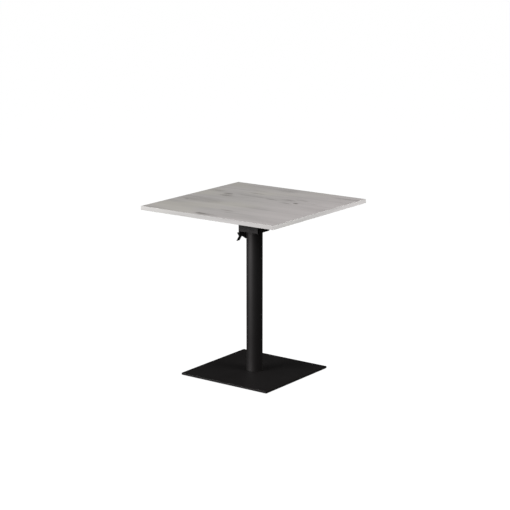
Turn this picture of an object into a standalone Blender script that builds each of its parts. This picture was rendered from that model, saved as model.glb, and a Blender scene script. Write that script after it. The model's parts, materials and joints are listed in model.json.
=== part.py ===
"""Fold-up pedestal table: a square top that tips up on a sheet-steel head, on a round column and a flat base.

The origin is on the floor under the column, +Z is up, and the finger lever is at the -X end of the head.
Run it with blender --background --python part.py, or from Blender's text editor. All sizes are in metres.
"""

import math

import bmesh
import bpy
from mathutils import Matrix, Vector

# Table top
TABLE_HEIGHT = 0.750
TOP_SIDE = 0.680
CORE_THICKNESS = 0.016
LAMINATE_THICKNESS = 0.0007
BACKING_THICKNESS = 0.0003
EDGE_BAND_THICKNESS = 0.002

# Base plate, column and the discs welded into its ends
BASE_SIDE = 0.450
BASE_THICKNESS = 0.008
BASE_CORNER_RADIUS = 0.003
COLUMN_DIAMETER = 0.070
COLUMN_WALL = 0.002
DISC_THICKNESS = 0.012
SCREW_CIRCLE_INSET = 0.012

# Levelling feet
PAD_DIAMETER = 0.030
PAD_HEIGHT = 0.0057
PAD_CHAMFER = 0.0012
PAD_SOCKET_DEPTH = 0.003
STUD_DIAMETER = 0.008
STUD_COVER = 0.0015
FOOT_INSET = 0.045

# Head: folded saddle with a plate across its hinge end, hinge studs, bushes, stops and buffers
SADDLE_WALL = 0.0025
SADDLE_BEND_RADIUS = 0.002
SADDLE_DEPTH = 0.097
SADDLE_SIDE_CLEARANCE = 0.0043
SADDLE_HINGE_END = 0.0474
SADDLE_LATCH_END = 0.0536
END_PLATE_SETBACK = 0.0008
END_PLATE_SEAM = 0.004
HINGE_STUD_DIAMETER = 0.010
HINGE_STUD_PROUD = 0.002
HINGE_INSET = 0.0144
HINGE_DROP = 0.026
BUSH_WALL = 0.0015
BUSH_FLANGE_WIDTH = 0.0025
BUSH_FLANGE_THICKNESS = 0.0012
STOP_STUD_DIAMETER = 0.008
STOP_STUD_LEAD = 0.002
BUFFER_DIAMETER = 0.018
BUFFER_HEIGHT = 0.0057
BUFFER_END_MARGIN = 0.005
BUFFER_SPREAD = 0.022

# Mounting plate under the top
PLATE_LENGTH = 0.240
PLATE_WIDTH = 0.160
PLATE_THICKNESS = 0.003
PLATE_SCREW_INSET = 0.015
EAR_THICKNESS = 0.003
EAR_HALF_WIDTH = 0.014

# Latch: strike on the plate, lever, bracket, pin and spring
STRIKE_CLEARANCE = 0.007
STRIKE_THICKNESS = 0.003
STRIKE_DEPTH = 0.018
STRIKE_LIP = 0.004
STRIKE_FLANGE = 0.030
STRIKE_WIDTH = 0.024
LEVER_THICKNESS = 0.003
LEVER_WIDTH = 0.020
HOOK_LENGTH = 0.0055
HOOK_LIFT = 0.0008
HOOK_CLEARANCE = 0.0004
LATCH_RISE = 0.038
EYE_WALL = 0.003
LATCH_PIN_DIAMETER = 0.008
BRACKET_WALL = 0.003
BRACKET_SIDE_PLAY = 0.002
SPRING_DROP = 0.034
SPRING_DIAMETER = 0.0112
SPRING_WIRE = 0.0012
SPRING_TURNS = 7
SPIGOT_DIAMETER = 0.006
SPIGOT_LENGTH = 0.006

# Outward and downward offsets from the foot of the lever's arm, and from the lower edge of the saddle
PADDLE_HUB_DROP = 0.031
PADDLE_LEG = (0.0125, 0.052)
PADDLE_PRONG = (0.0105, 0.0165)
BRACKET_FOOT_DROP = 0.0345
BRACKET_NOSE_DROP = 0.020

# Fasteners: shaft diameter, head diameter, head height, hexagon across flats, depth of the hexagon
COUNTERSUNK_M8 = (0.008, 0.016, 0.004, 0.005, 0.0028)
BUTTON_M6 = (0.006, 0.0105, 0.0033, 0.004, 0.0018)
PAN_WOOD_SCREW = (0.0045, 0.009, 0.0028, 0.003, 0.0015)
RIVET_DIAMETER = 0.004
RIVET_HEAD = (0.0075, 0.0016)
SCREW_REACH = 0.010
SCREW_TIP = 0.0006
HEAD_RIM_SHARE = 0.35
HEAD_CROWN_SHARE = 0.72
BUFFER_RIM_SHARE = 0.6
BUFFER_CROWN_SHARE = 0.7
RIVET_CROWN_SHARE = 0.6
WASHER_DIAMETER = 0.020
WASHER_THICKNESS = 0.0015
CLIP_RIM = 0.0035
CLIP_THICKNESS = 0.0012
PIN_HEAD_DIAMETER = 0.013
PIN_HEAD_HEIGHT = 0.0025

# Fits between neighbours, and how finely round shapes are divided
SEAT_GAP = 0.0003
BORE_GAP = 0.0002
CUT_MARGIN = 0.002
ROUND_SIDES = 24
SCREW_SIDES = 12
HEXAGON_CORNERS = 6
TUBE_SIDES = 48
BEND_STEPS = 4
SPRING_POINTS_PER_TURN = 10
SMOOTH_ANGLE = math.radians(35)

# Places that follow from those sizes
COLUMN_RADIUS = COLUMN_DIAMETER / 2
BASE_UNDERSIDE = PAD_HEIGHT + SEAT_GAP
BASE_TOP = BASE_UNDERSIDE + BASE_THICKNESS
TOP_UNDERSIDE = TABLE_HEIGHT - LAMINATE_THICKNESS - CORE_THICKNESS - BACKING_THICKNESS
CORE_UNDERSIDE = TOP_UNDERSIDE + BACKING_THICKNESS
CORE_TOP = CORE_UNDERSIDE + CORE_THICKNESS
PLATE_TOP = TOP_UNDERSIDE - SEAT_GAP
PLATE_UNDERSIDE = PLATE_TOP - PLATE_THICKNESS
SADDLE_TOP = PLATE_UNDERSIDE - BUFFER_HEIGHT - 2 * SEAT_GAP
SADDLE_BOTTOM = SADDLE_TOP - SADDLE_DEPTH
SADDLE_FACE = COLUMN_RADIUS + SADDLE_SIDE_CLEARANCE + SADDLE_WALL
HINGE_X = SADDLE_HINGE_END - HINGE_INSET
HINGE_Z = SADDLE_TOP - HINGE_DROP
DISC_RADIUS = COLUMN_RADIUS - COLUMN_WALL - SEAT_GAP
SCREW_CIRCLE = DISC_RADIUS - SCREW_CIRCLE_INSET
CAP_TOP = SADDLE_TOP - SADDLE_WALL - SEAT_GAP
COLUMN_TOP = CAP_TOP - SADDLE_BEND_RADIUS
COLUMN_BOTTOM = BASE_TOP + SEAT_GAP
BUSH_DIAMETER = HINGE_STUD_DIAMETER + 2 * BUSH_WALL
EAR_INSIDE = SADDLE_FACE + BUSH_FLANGE_THICKNESS + 2 * SEAT_GAP
EAR_OUTSIDE = EAR_INSIDE + EAR_THICKNESS
WASHER_OUTSIDE = EAR_OUTSIDE + SEAT_GAP + WASHER_THICKNESS
STRIKE_X = -SADDLE_LATCH_END - STRIKE_CLEARANCE - STRIKE_THICKNESS
STRIKE_LIP_X = STRIKE_X - STRIKE_LIP
STRIKE_LIP_TOP = PLATE_UNDERSIDE - STRIKE_DEPTH + STRIKE_THICKNESS
HOOK_X = STRIKE_LIP_X - HOOK_CLEARANCE
HOOK_Z = STRIKE_LIP_TOP + HOOK_LIFT + LEVER_THICKNESS / 2
LATCH_X = HOOK_X - HOOK_LENGTH - LEVER_THICKNESS / 2
LATCH_Z = SADDLE_BOTTOM + LATCH_RISE
BRACKET_INSIDE = LEVER_WIDTH / 2 + BRACKET_SIDE_PLAY
BRACKET_OUTSIDE = BRACKET_INSIDE + BRACKET_WALL
BRACKET_BACK = -COLUMN_RADIUS - SEAT_GAP
BRACKET_FRONT = BRACKET_BACK - BRACKET_WALL
FOOT_REACH = BASE_SIDE / 2 - FOOT_INSET

# Turns that point a piece made along +Z another way
UPSIDE_DOWN = (math.pi, 0.0, 0.0)
ALONG_PLUS_Y = (-math.pi / 2, 0.0, 0.0)
ALONG_MINUS_Y = (math.pi / 2, 0.0, 0.0)


def clear_scene():
    for obj in list(bpy.data.objects):
        bpy.data.objects.remove(obj, do_unlink=True)


def make_material(name, colour, roughness, metallic):
    material = bpy.data.materials.new(name)
    material.use_nodes = True
    shader = material.node_tree.nodes["Principled BSDF"]
    shader.inputs["Base Color"].default_value = (*colour, 1.0)
    shader.inputs["Roughness"].default_value = roughness
    shader.inputs["Metallic"].default_value = metallic
    material.diffuse_color = (*colour, 1.0)
    return material


def make_pivot(name, location):
    """An empty on a joint's axis, which carries the pieces that turn about it."""
    pivot = bpy.data.objects.new(name, None)
    pivot.location = location
    pivot.empty_display_size = COLUMN_DIAMETER
    bpy.context.scene.collection.objects.link(pivot)
    return pivot


def hang_on(obj, pivot):
    """Parents a piece to a pivot and keeps it where it was modelled."""
    obj.parent = pivot
    if pivot:
        obj.matrix_parent_inverse = Matrix.Translation(-pivot.location)


def add_piece(name, bm, material, pivot=None, location=(0.0, 0.0, 0.0), rotation=(0.0, 0.0, 0.0)):
    """Makes a named object of a bmesh, with its faces pointing out and its round faces shaded smooth."""
    bmesh.ops.recalc_face_normals(bm, faces=bm.faces)
    mesh = bpy.data.meshes.new(name)
    bm.to_mesh(mesh)
    bm.free()
    mesh.shade_smooth()
    mesh.set_sharp_from_angle(angle=SMOOTH_ANGLE)
    if material:
        mesh.materials.append(material)
    obj = bpy.data.objects.new(name, mesh)
    obj.location = location
    obj.rotation_euler = rotation
    bpy.context.scene.collection.objects.link(obj)
    hang_on(obj, pivot)
    return obj


def shape_with(target, tool_name, bm, operation="DIFFERENCE"):
    """Cuts a bmesh out of a piece, or joins it on, through a Boolean with a hidden tool."""
    tool = add_piece(tool_name, bm, None, target.parent)
    tool.hide_render = True
    tool.display_type = "WIRE"
    modifier = target.modifiers.new(tool_name, "BOOLEAN")
    modifier.operation = operation
    modifier.object = tool
    modifier.solver = "EXACT"


def bore(diameter, sides=ROUND_SIDES):
    """The radius of a faceted bore whose flats clear a shaft of this diameter."""
    return (diameter / 2 + BORE_GAP) / math.cos(math.pi / sides)


def make_ring(bm, sides, radius, height, corners=0):
    """One loop of points round Z: a circle, or a polygon with this inner radius."""
    loop = []
    for step in range(sides):
        angle = math.tau * step / sides
        reach = radius
        if corners:
            sector = math.tau / corners
            reach = radius / math.cos(angle % sector - sector / 2)
        loop.append(bm.verts.new((reach * math.cos(angle), reach * math.sin(angle), height)))
    return loop


def turned(rings, sides=ROUND_SIDES, bored=False):
    """A solid whose loops are joined in order: a bored one closes on itself, any other has two end faces."""
    bm = bmesh.new()
    loops = [make_ring(bm, sides, *ring) for ring in rings]
    if bored:
        loops.append(loops[0])
    else:
        bm.faces.new(loops[0])
        bm.faces.new(loops[-1])
    for lower, upper in zip(loops, loops[1:]):
        for step in range(sides):
            after = (step + 1) % sides
            bm.faces.new((lower[step], lower[after], upper[after], upper[step]))
    return bm


def prism(outline, low, high, axis):
    """A solid of this outline between two levels on an axis. Its points list the other two axes in order."""
    bm = bmesh.new()
    place = "XYZ".index(axis)
    loops = []
    for level in (low, high):
        loop = []
        for point in outline:
            spot = list(point)
            spot.insert(place, level)
            loop.append(bm.verts.new(spot))
        bm.faces.new(loop)
        loops.append(loop)
    for step, point in enumerate(loops[0]):
        before = step - 1
        bm.faces.new((loops[0][before], point, loops[1][step], loops[1][before]))
    return bm


def block(low, high):
    outline = [(low[0], low[1]), (high[0], low[1]), (high[0], high[1]), (low[0], high[1])]
    return prism(outline, low[2], high[2], "Z")


def merged(parts, places):
    """One bmesh that holds several, each moved to its place."""
    whole = bmesh.new()
    for part, place in zip(parts, places):
        part.transform(place)
        mesh = bpy.data.meshes.new("part_of_tool")
        part.to_mesh(mesh)
        part.free()
        whole.from_mesh(mesh)
        bpy.data.meshes.remove(mesh)
    return whole


def drills(diameter, low, high, spots, sides=ROUND_SIDES):
    """Upright bores that clear a shaft of this diameter, one at each (x, y) spot."""
    radius = bore(diameter, sides)
    parts = [turned([(radius, low), (radius, high)], sides) for _ in spots]
    return merged(parts, [Matrix.Translation((x, y, 0.0)) for x, y in spots])


def cross_drill(diameter, reach, x, z):
    """A bore along Y through (x, z) that clears a shaft of this diameter."""
    radius = bore(diameter)
    bm = turned([(radius, -reach), (radius, reach)])
    bm.transform(Matrix.Translation((x, 0.0, z)) @ Matrix.Rotation(math.pi / 2, 4, "X"))
    return bm


def rounded(path, radius, closed=False):
    """A path with an arc in place of each corner. An open path keeps its two ends."""
    points = []
    for index, spot in enumerate(path):
        corner = Vector(spot)
        if not closed and index in (0, len(path) - 1):
            points.append(corner)
            continue
        back = (Vector(path[index - 1]) - corner).normalized()
        ahead = (Vector(path[(index + 1) % len(path)]) - corner).normalized()
        half = back.angle(ahead) / 2
        centre = corner + (back + ahead).normalized() * radius / math.sin(half)
        start = corner + back * radius / math.tan(half) - centre
        end = corner + ahead * radius / math.tan(half) - centre
        for step in range(BEND_STEPS + 1):
            points.append(centre + start.lerp(end, step / BEND_STEPS).normalized() * radius)
    return points


def ribbon(path, thickness):
    """The outline of a strip of this thickness along a path."""
    points = [Vector(spot) for spot in path]
    headings = [(end - start).normalized() for start, end in zip(points, points[1:])]
    sides = [Vector((-heading.y, heading.x)) for heading in headings]
    left = []
    right = []
    for index, point in enumerate(points):
        before = sides[max(index - 1, 0)]
        after = sides[min(index, len(sides) - 1)]
        offset = (before + after) / (1 + before.dot(after)) * thickness / 2
        left.append(point + offset)
        right.append(point - offset)
    return left + right[::-1]


def square(reach):
    """The corners of a square round the column's axis."""
    return [(-reach, -reach), (reach, -reach), (reach, reach), (-reach, reach)]


def screw_circle_spots():
    return square(SCREW_CIRCLE / math.sqrt(2))


def plate_screw_spots():
    x = PLATE_LENGTH / 2 - PLATE_SCREW_INSET
    y = PLATE_WIDTH / 2 - PLATE_SCREW_INSET
    return [(-x, -y), (0.0, -y), (x, -y), (x, y), (0.0, y), (-x, y)]


def strike_rivet_spots():
    x = STRIKE_X - STRIKE_FLANGE / 2
    y = STRIKE_WIDTH / 4
    return [(x, -y), (x, y)]


def headed_screw(sizes, length):
    """A round-headed screw with a hexagon socket: its shaft hangs below z = 0 and its head stands on it."""
    shaft, head, height, flats, socket = sizes
    rings = [
        (shaft / 2 - SCREW_TIP, -length),
        (shaft / 2, -length + SCREW_TIP),
        (shaft / 2, 0.0),
        (head / 2, 0.0),
        (head / 2, height * HEAD_RIM_SHARE),
        (head / 2 * HEAD_CROWN_SHARE, height),
        (flats / 2, height, HEXAGON_CORNERS),
        (flats / 2, height - socket, HEXAGON_CORNERS),
    ]
    return turned(rings, SCREW_SIDES)


def countersunk_screw(sizes, length):
    """A flat-headed screw with a hexagon socket: its head's face is at z = 0."""
    shaft, head, height, flats, socket = sizes
    rings = [
        (shaft / 2 - SCREW_TIP, -length),
        (shaft / 2, -length + SCREW_TIP),
        (shaft / 2, -height),
        (head / 2, 0.0),
        (flats / 2, 0.0, HEXAGON_CORNERS),
        (flats / 2, -socket, HEXAGON_CORNERS),
    ]
    return turned(rings, SCREW_SIDES)


def countersinks():
    """Cutters for the base plate: a clear hole, and a cone that follows the screw's head at an even gap."""
    shaft, head, height, _, _ = COUNTERSUNK_M8
    hole = bore(shaft, SCREW_SIDES)
    mouth = hole + head / 2 - shaft / 2
    rings = [
        (mouth, BASE_UNDERSIDE - CUT_MARGIN),
        (mouth, BASE_UNDERSIDE + SEAT_GAP),
        (hole, BASE_UNDERSIDE + SEAT_GAP + height),
        (hole, BASE_TOP + CUT_MARGIN),
    ]
    spots = screw_circle_spots()
    parts = [turned(rings, SCREW_SIDES) for _ in spots]
    return merged(parts, [Matrix.Translation((x, y, 0.0)) for x, y in spots])


def add_base(black, zinc):
    outline = rounded(square(BASE_SIDE / 2), BASE_CORNER_RADIUS, closed=True)
    plate = add_piece("base_plate", prism(outline, BASE_UNDERSIDE, BASE_TOP, "Z"), black)
    hole_top = BASE_TOP - STUD_COVER
    foot_holes = drills(STUD_DIAMETER, BASE_UNDERSIDE - CUT_MARGIN, hole_top, square(FOOT_REACH))
    shape_with(plate, "foot_hole_cutter", foot_holes)
    shape_with(plate, "countersink_cutter", countersinks())
    length = BASE_THICKNESS - SEAT_GAP + SCREW_REACH
    for number, (x, y) in enumerate(screw_circle_spots(), 1):
        screw = countersunk_screw(COUNTERSUNK_M8, length)
        place = (x, y, BASE_UNDERSIDE + SEAT_GAP)
        add_piece(f"base_screw_{number}", screw, zinc, None, place, UPSIDE_DOWN)


def add_feet(plastic, zinc):
    socket = PAD_HEIGHT - PAD_SOCKET_DEPTH
    stud_top = BASE_TOP - STUD_COVER - SEAT_GAP
    for number, (x, y) in enumerate(square(FOOT_REACH), 1):
        pad = [
            (PAD_DIAMETER / 2 - PAD_CHAMFER, 0.0),
            (PAD_DIAMETER / 2, PAD_CHAMFER),
            (PAD_DIAMETER / 2, PAD_HEIGHT),
            (bore(STUD_DIAMETER), PAD_HEIGHT),
            (bore(STUD_DIAMETER), socket),
        ]
        stud = [
            (STUD_DIAMETER / 2, socket + SEAT_GAP),
            (STUD_DIAMETER / 2, stud_top - SCREW_TIP),
            (STUD_DIAMETER / 2 - SCREW_TIP, stud_top),
        ]
        add_piece(f"foot_pad_{number}", turned(pad), plastic, None, (x, y, 0.0))
        add_piece(f"foot_stud_{number}", turned(stud), zinc, None, (x, y, 0.0))


def add_column(black):
    tube = [
        (COLUMN_RADIUS, COLUMN_BOTTOM),
        (COLUMN_RADIUS, COLUMN_TOP),
        (COLUMN_RADIUS - COLUMN_WALL, COLUMN_TOP),
        (COLUMN_RADIUS - COLUMN_WALL, COLUMN_BOTTOM),
    ]
    add_piece("column_tube", turned(tube, TUBE_SIDES, bored=True), black)
    discs = {
        "column_foot": (COLUMN_BOTTOM, COUNTERSUNK_M8[0]),
        "column_cap": (CAP_TOP - DISC_THICKNESS, BUTTON_M6[0]),
    }
    for name, (low, shaft) in discs.items():
        high = low + DISC_THICKNESS
        disc = add_piece(name, turned([(DISC_RADIUS, low), (DISC_RADIUS, high)], TUBE_SIDES), black)
        holes = drills(shaft, low - CUT_MARGIN, high + CUT_MARGIN, screw_circle_spots(), SCREW_SIDES)
        shape_with(disc, f"{name}_cutter", holes)


def add_saddle(black, zinc, rubber):
    middle = SADDLE_FACE - SADDLE_WALL / 2
    crown = SADDLE_TOP - SADDLE_WALL / 2
    path = [(-middle, SADDLE_BOTTOM), (-middle, crown), (middle, crown), (middle, SADDLE_BOTTOM)]
    fold = rounded(path, SADDLE_BEND_RADIUS + SADDLE_WALL / 2)
    outline = ribbon(fold, SADDLE_WALL)
    saddle = add_piece("head_saddle", prism(outline, -SADDLE_LATCH_END, SADDLE_HINGE_END, "X"), black)
    end_face = SADDLE_HINGE_END - END_PLATE_SETBACK
    end_reach = SADDLE_FACE - SADDLE_WALL - END_PLATE_SEAM
    end_plate = block((end_face - SADDLE_WALL, -end_reach, SADDLE_BOTTOM), (end_face, end_reach, crown))
    shape_with(saddle, "saddle_end_plate", end_plate, "UNION")
    stud_holes = cross_drill(HINGE_STUD_DIAMETER, SADDLE_FACE + CUT_MARGIN, HINGE_X, HINGE_Z)
    shape_with(saddle, "stud_hole_cutter", stud_holes)
    low = SADDLE_TOP - SADDLE_WALL - CUT_MARGIN
    screw_holes = drills(BUTTON_M6[0], low, SADDLE_TOP + CUT_MARGIN, screw_circle_spots(), SCREW_SIDES)
    shape_with(saddle, "saddle_screw_cutter", screw_holes)
    length = SADDLE_WALL + 2 * SEAT_GAP + SCREW_REACH
    for number, (x, y) in enumerate(screw_circle_spots(), 1):
        screw = headed_screw(BUTTON_M6, length)
        add_piece(f"saddle_screw_{number}", screw, zinc, None, (x, y, SADDLE_TOP + SEAT_GAP))
    for side, name in ((-1, "left"), (1, "right")):
        add_stop_stud(f"stop_stud_{name}", black, side)
        add_buffer(f"rest_buffer_{name}", rubber, side * BUFFER_SPREAD)


def outward(side):
    """The turn that points a piece away from the saddle, on its +Y or its -Y side."""
    return ALONG_PLUS_Y if side > 0 else ALONG_MINUS_Y


def add_stop_stud(name, black, side):
    """The upright top leans on these two studs: they meet the hinge ears from below."""
    radius = STOP_STUD_DIAMETER / 2
    length = EAR_OUTSIDE - SADDLE_FACE - SEAT_GAP
    rings = [(radius, 0.0), (radius, length - SCREW_TIP), (radius - SCREW_TIP, length)]
    x = HINGE_X + STOP_STUD_LEAD
    z = HINGE_Z - EAR_HALF_WIDTH - SEAT_GAP - radius
    add_piece(name, turned(rings), black, None, (x, side * (SADDLE_FACE + SEAT_GAP), z), outward(side))


def add_buffer(name, rubber, y):
    radius = BUFFER_DIAMETER / 2
    rings = [
        (radius, 0.0),
        (radius, BUFFER_HEIGHT * BUFFER_RIM_SHARE),
        (radius * BUFFER_CROWN_SHARE, BUFFER_HEIGHT),
    ]
    x = -SADDLE_LATCH_END + BUFFER_END_MARGIN + radius
    add_piece(name, turned(rings), rubber, None, (x, y, SADDLE_TOP + SEAT_GAP))


def flat_ring(diameter, thickness, shaft):
    """A washer or a retaining ring that clears a shaft of this diameter."""
    inside = bore(shaft)
    outside = diameter / 2
    return turned([(outside, 0.0), (outside, thickness), (inside, thickness), (inside, 0.0)], bored=True)


def add_hinge(zinc, plastic, tilt):
    """On each side a stud welded into the saddle, a bush in the ear that turns on it, a washer and a ring."""
    clip_face = WASHER_OUTSIDE + SEAT_GAP
    inside = SADDLE_FACE - SADDLE_WALL
    radius = HINGE_STUD_DIAMETER / 2
    length = clip_face + CLIP_THICKNESS + HINGE_STUD_PROUD - inside
    stud = [(radius, 0.0), (radius, length - SCREW_TIP), (radius - SCREW_TIP, length)]
    clip_diameter = HINGE_STUD_DIAMETER + 2 * CLIP_RIM
    for side, name in ((-1, "left"), (1, "right")):
        turn = outward(side)
        place = (HINGE_X, side * inside, HINGE_Z)
        add_piece(f"hinge_stud_{name}", turned(stud), zinc, None, place, turn)
        place = (HINGE_X, side * (SADDLE_FACE + SEAT_GAP), HINGE_Z)
        add_piece(f"hinge_bush_{name}", hinge_bush(), plastic, tilt, place, turn)
        place = (HINGE_X, side * (EAR_OUTSIDE + SEAT_GAP), HINGE_Z)
        washer = flat_ring(WASHER_DIAMETER, WASHER_THICKNESS, HINGE_STUD_DIAMETER)
        add_piece(f"hinge_washer_{name}", washer, zinc, None, place, turn)
        place = (HINGE_X, side * clip_face, HINGE_Z)
        clip = flat_ring(clip_diameter, CLIP_THICKNESS, HINGE_STUD_DIAMETER)
        add_piece(f"hinge_clip_{name}", clip, zinc, None, place, turn)


def hinge_bush():
    """A flange between the saddle and the ear, and a sleeve through the ear."""
    inside = bore(HINGE_STUD_DIAMETER)
    sleeve = BUSH_DIAMETER / 2
    end = EAR_OUTSIDE - SADDLE_FACE - SEAT_GAP
    rings = [
        (sleeve + BUSH_FLANGE_WIDTH, 0.0),
        (sleeve + BUSH_FLANGE_WIDTH, BUSH_FLANGE_THICKNESS),
        (sleeve, BUSH_FLANGE_THICKNESS),
        (sleeve, end),
        (inside, end),
        (inside, 0.0),
    ]
    return turned(rings, bored=True)


def add_top_sheets(decor, board, tilt):
    """The core with its two sheets and its four edging strips, face to face as they are glued."""
    half = TOP_SIDE / 2
    inner = half - EDGE_BAND_THICKNESS
    core = block((-inner, -inner, CORE_UNDERSIDE), (inner, inner, CORE_TOP))
    core = add_piece("table_core", core, board, tilt)
    laminate = block((-inner, -inner, CORE_TOP), (inner, inner, TABLE_HEIGHT))
    add_piece("laminate_sheet", laminate, decor, tilt)
    backing = block((-inner, -inner, TOP_UNDERSIDE), (inner, inner, CORE_UNDERSIDE))
    backing = add_piece("backing_sheet", backing, board, tilt)
    bands = {
        "edge_band_front": ((-half, -half), (half, -inner)),
        "edge_band_back": ((-half, inner), (half, half)),
        "edge_band_left": ((-half, -inner), (-inner, inner)),
        "edge_band_right": ((inner, -inner), (half, inner)),
    }
    for name, (low, high) in bands.items():
        add_piece(name, block((*low, TOP_UNDERSIDE), (*high, TABLE_HEIGHT)), decor, tilt)
    pilot_end = CORE_UNDERSIDE + SCREW_REACH + SEAT_GAP
    for name, piece in (("core", core), ("backing", backing)):
        low = TOP_UNDERSIDE - CUT_MARGIN
        pilots = drills(PAN_WOOD_SCREW[0], low, pilot_end, plate_screw_spots(), SCREW_SIDES)
        shape_with(piece, f"{name}_pilot_cutter", pilots)


def hinge_ears():
    """Two ears with round lower ends about the hinge, which reach up into the plate."""
    joined = PLATE_UNDERSIDE + PLATE_THICKNESS / 2
    outline = [(HINGE_X + EAR_HALF_WIDTH, joined), (HINGE_X - EAR_HALF_WIDTH, joined)]
    for step in range(ROUND_SIDES // 2 + 1):
        angle = math.pi + math.tau * step / ROUND_SIDES
        x = HINGE_X + EAR_HALF_WIDTH * math.cos(angle)
        outline.append((x, HINGE_Z + EAR_HALF_WIDTH * math.sin(angle)))
    ears = [prism(outline, -EAR_OUTSIDE, -EAR_INSIDE, "Y"), prism(outline, EAR_INSIDE, EAR_OUTSIDE, "Y")]
    return merged(ears, [Matrix.Identity(4)] * 2)


def add_mounting_plate(black, zinc, tilt):
    x = PLATE_LENGTH / 2
    y = PLATE_WIDTH / 2
    sheet = block((-x, -y, PLATE_UNDERSIDE), (x, y, PLATE_TOP))
    plate = add_piece("mounting_plate", sheet, black, tilt)
    shape_with(plate, "hinge_ears", hinge_ears(), "UNION")
    bush_holes = cross_drill(BUSH_DIAMETER, EAR_OUTSIDE + CUT_MARGIN, HINGE_X, HINGE_Z)
    shape_with(plate, "ear_bore_cutter", bush_holes)
    low = PLATE_UNDERSIDE - CUT_MARGIN
    high = PLATE_TOP + CUT_MARGIN
    screw_holes = drills(PAN_WOOD_SCREW[0], low, high, plate_screw_spots(), SCREW_SIDES)
    shape_with(plate, "plate_screw_cutter", screw_holes)
    rivet_holes = drills(RIVET_DIAMETER, low, high, strike_rivet_spots(), SCREW_SIDES)
    shape_with(plate, "plate_rivet_cutter", rivet_holes)
    length = PLATE_THICKNESS + 2 * SEAT_GAP + BACKING_THICKNESS + SCREW_REACH
    for number, spot in enumerate(plate_screw_spots(), 1):
        screw = headed_screw(PAN_WOOD_SCREW, length)
        place = (*spot, PLATE_UNDERSIDE - SEAT_GAP)
        add_piece(f"top_screw_{number}", screw, zinc, tilt, place, UPSIDE_DOWN)


def add_strike(black, zinc, tilt):
    """A bent strip under the plate: a riveted flange, a leg down past the saddle and a lip for the hook."""
    flange_z = PLATE_UNDERSIDE - SEAT_GAP - STRIKE_THICKNESS / 2
    leg_x = STRIKE_X + STRIKE_THICKNESS / 2
    lip_z = STRIKE_LIP_TOP - STRIKE_THICKNESS / 2
    path = [(STRIKE_X - STRIKE_FLANGE, flange_z), (leg_x, flange_z), (leg_x, lip_z), (STRIKE_LIP_X, lip_z)]
    outline = ribbon(path, STRIKE_THICKNESS)
    strike = prism(outline, -STRIKE_WIDTH / 2, STRIKE_WIDTH / 2, "Y")
    strike = add_piece("strike_bracket", strike, black, tilt)
    flange_under = flange_z - STRIKE_THICKNESS / 2
    holes = drills(RIVET_DIAMETER, flange_under - CUT_MARGIN, PLATE_TOP, strike_rivet_spots(), SCREW_SIDES)
    shape_with(strike, "strike_rivet_cutter", holes)
    head, height = RIVET_HEAD
    rings = [
        (RIVET_DIAMETER / 2, PLATE_UNDERSIDE - flange_under + PLATE_THICKNESS),
        (RIVET_DIAMETER / 2, -SEAT_GAP),
        (head / 2, -SEAT_GAP),
        (head / 2 * RIVET_CROWN_SHARE, -SEAT_GAP - height),
    ]
    for number, spot in enumerate(strike_rivet_spots(), 1):
        add_piece(f"strike_rivet_{number}", turned(rings, SCREW_SIDES), zinc, tilt, (*spot, flange_under))


def add_latch_bracket(black, zinc):
    """A folded channel on the column: a web behind and two cheeks that carry the lever's pin."""
    pin_reach = LATCH_PIN_DIAMETER / 2 + EYE_WALL
    nose_x = LATCH_X + LEVER_THICKNESS / 2 + BRACKET_SIDE_PLAY
    outline = [
        (BRACKET_BACK, SADDLE_BOTTOM - BRACKET_FOOT_DROP),
        (nose_x, SADDLE_BOTTOM - BRACKET_NOSE_DROP),
        (nose_x, LATCH_Z - 2 * pin_reach),
        (LATCH_X - pin_reach, LATCH_Z - pin_reach),
        (LATCH_X - pin_reach, LATCH_Z + pin_reach),
        (LATCH_X, LATCH_Z + 2 * pin_reach),
        (BRACKET_BACK, LATCH_Z + 3 * pin_reach),
    ]
    bracket = prism(outline, -BRACKET_OUTSIDE, BRACKET_OUTSIDE, "Y")
    bracket = add_piece("latch_bracket", bracket, black)
    low = (LATCH_X - 3 * pin_reach, -BRACKET_INSIDE, SADDLE_BOTTOM - 2 * BRACKET_FOOT_DROP)
    high = (BRACKET_FRONT, BRACKET_INSIDE, LATCH_Z + 5 * pin_reach)
    shape_with(bracket, "bracket_channel_cutter", block(low, high))
    pin_hole = cross_drill(LATCH_PIN_DIAMETER, BRACKET_OUTSIDE + CUT_MARGIN, LATCH_X, LATCH_Z)
    shape_with(bracket, "bracket_bore_cutter", pin_hole)
    radius = SPIGOT_DIAMETER / 2
    spigot = turned([(radius, -BRACKET_WALL / 2), (radius, SPIGOT_LENGTH)], SCREW_SIDES)
    place = Matrix.Translation((BRACKET_FRONT, 0.0, LATCH_Z - SPRING_DROP))
    spigot.transform(place @ Matrix.Rotation(-math.pi / 2, 4, "Y"))
    shape_with(bracket, "spring_spigot", spigot, "UNION")
    seat = BRACKET_OUTSIDE + SEAT_GAP
    end = seat + 2 * CLIP_THICKNESS
    pin = [
        (PIN_HEAD_DIAMETER / 2, -seat - PIN_HEAD_HEIGHT),
        (PIN_HEAD_DIAMETER / 2, -seat),
        (LATCH_PIN_DIAMETER / 2, -seat),
        (LATCH_PIN_DIAMETER / 2, end - SCREW_TIP),
        (LATCH_PIN_DIAMETER / 2 - SCREW_TIP, end),
    ]
    add_piece("latch_pin", turned(pin), zinc, None, (LATCH_X, 0.0, LATCH_Z), ALONG_PLUS_Y)
    clip = flat_ring(LATCH_PIN_DIAMETER + 2 * CLIP_RIM, CLIP_THICKNESS, LATCH_PIN_DIAMETER)
    add_piece("latch_clip", clip, zinc, None, (LATCH_X, seat, LATCH_Z), ALONG_PLUS_Y)


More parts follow.
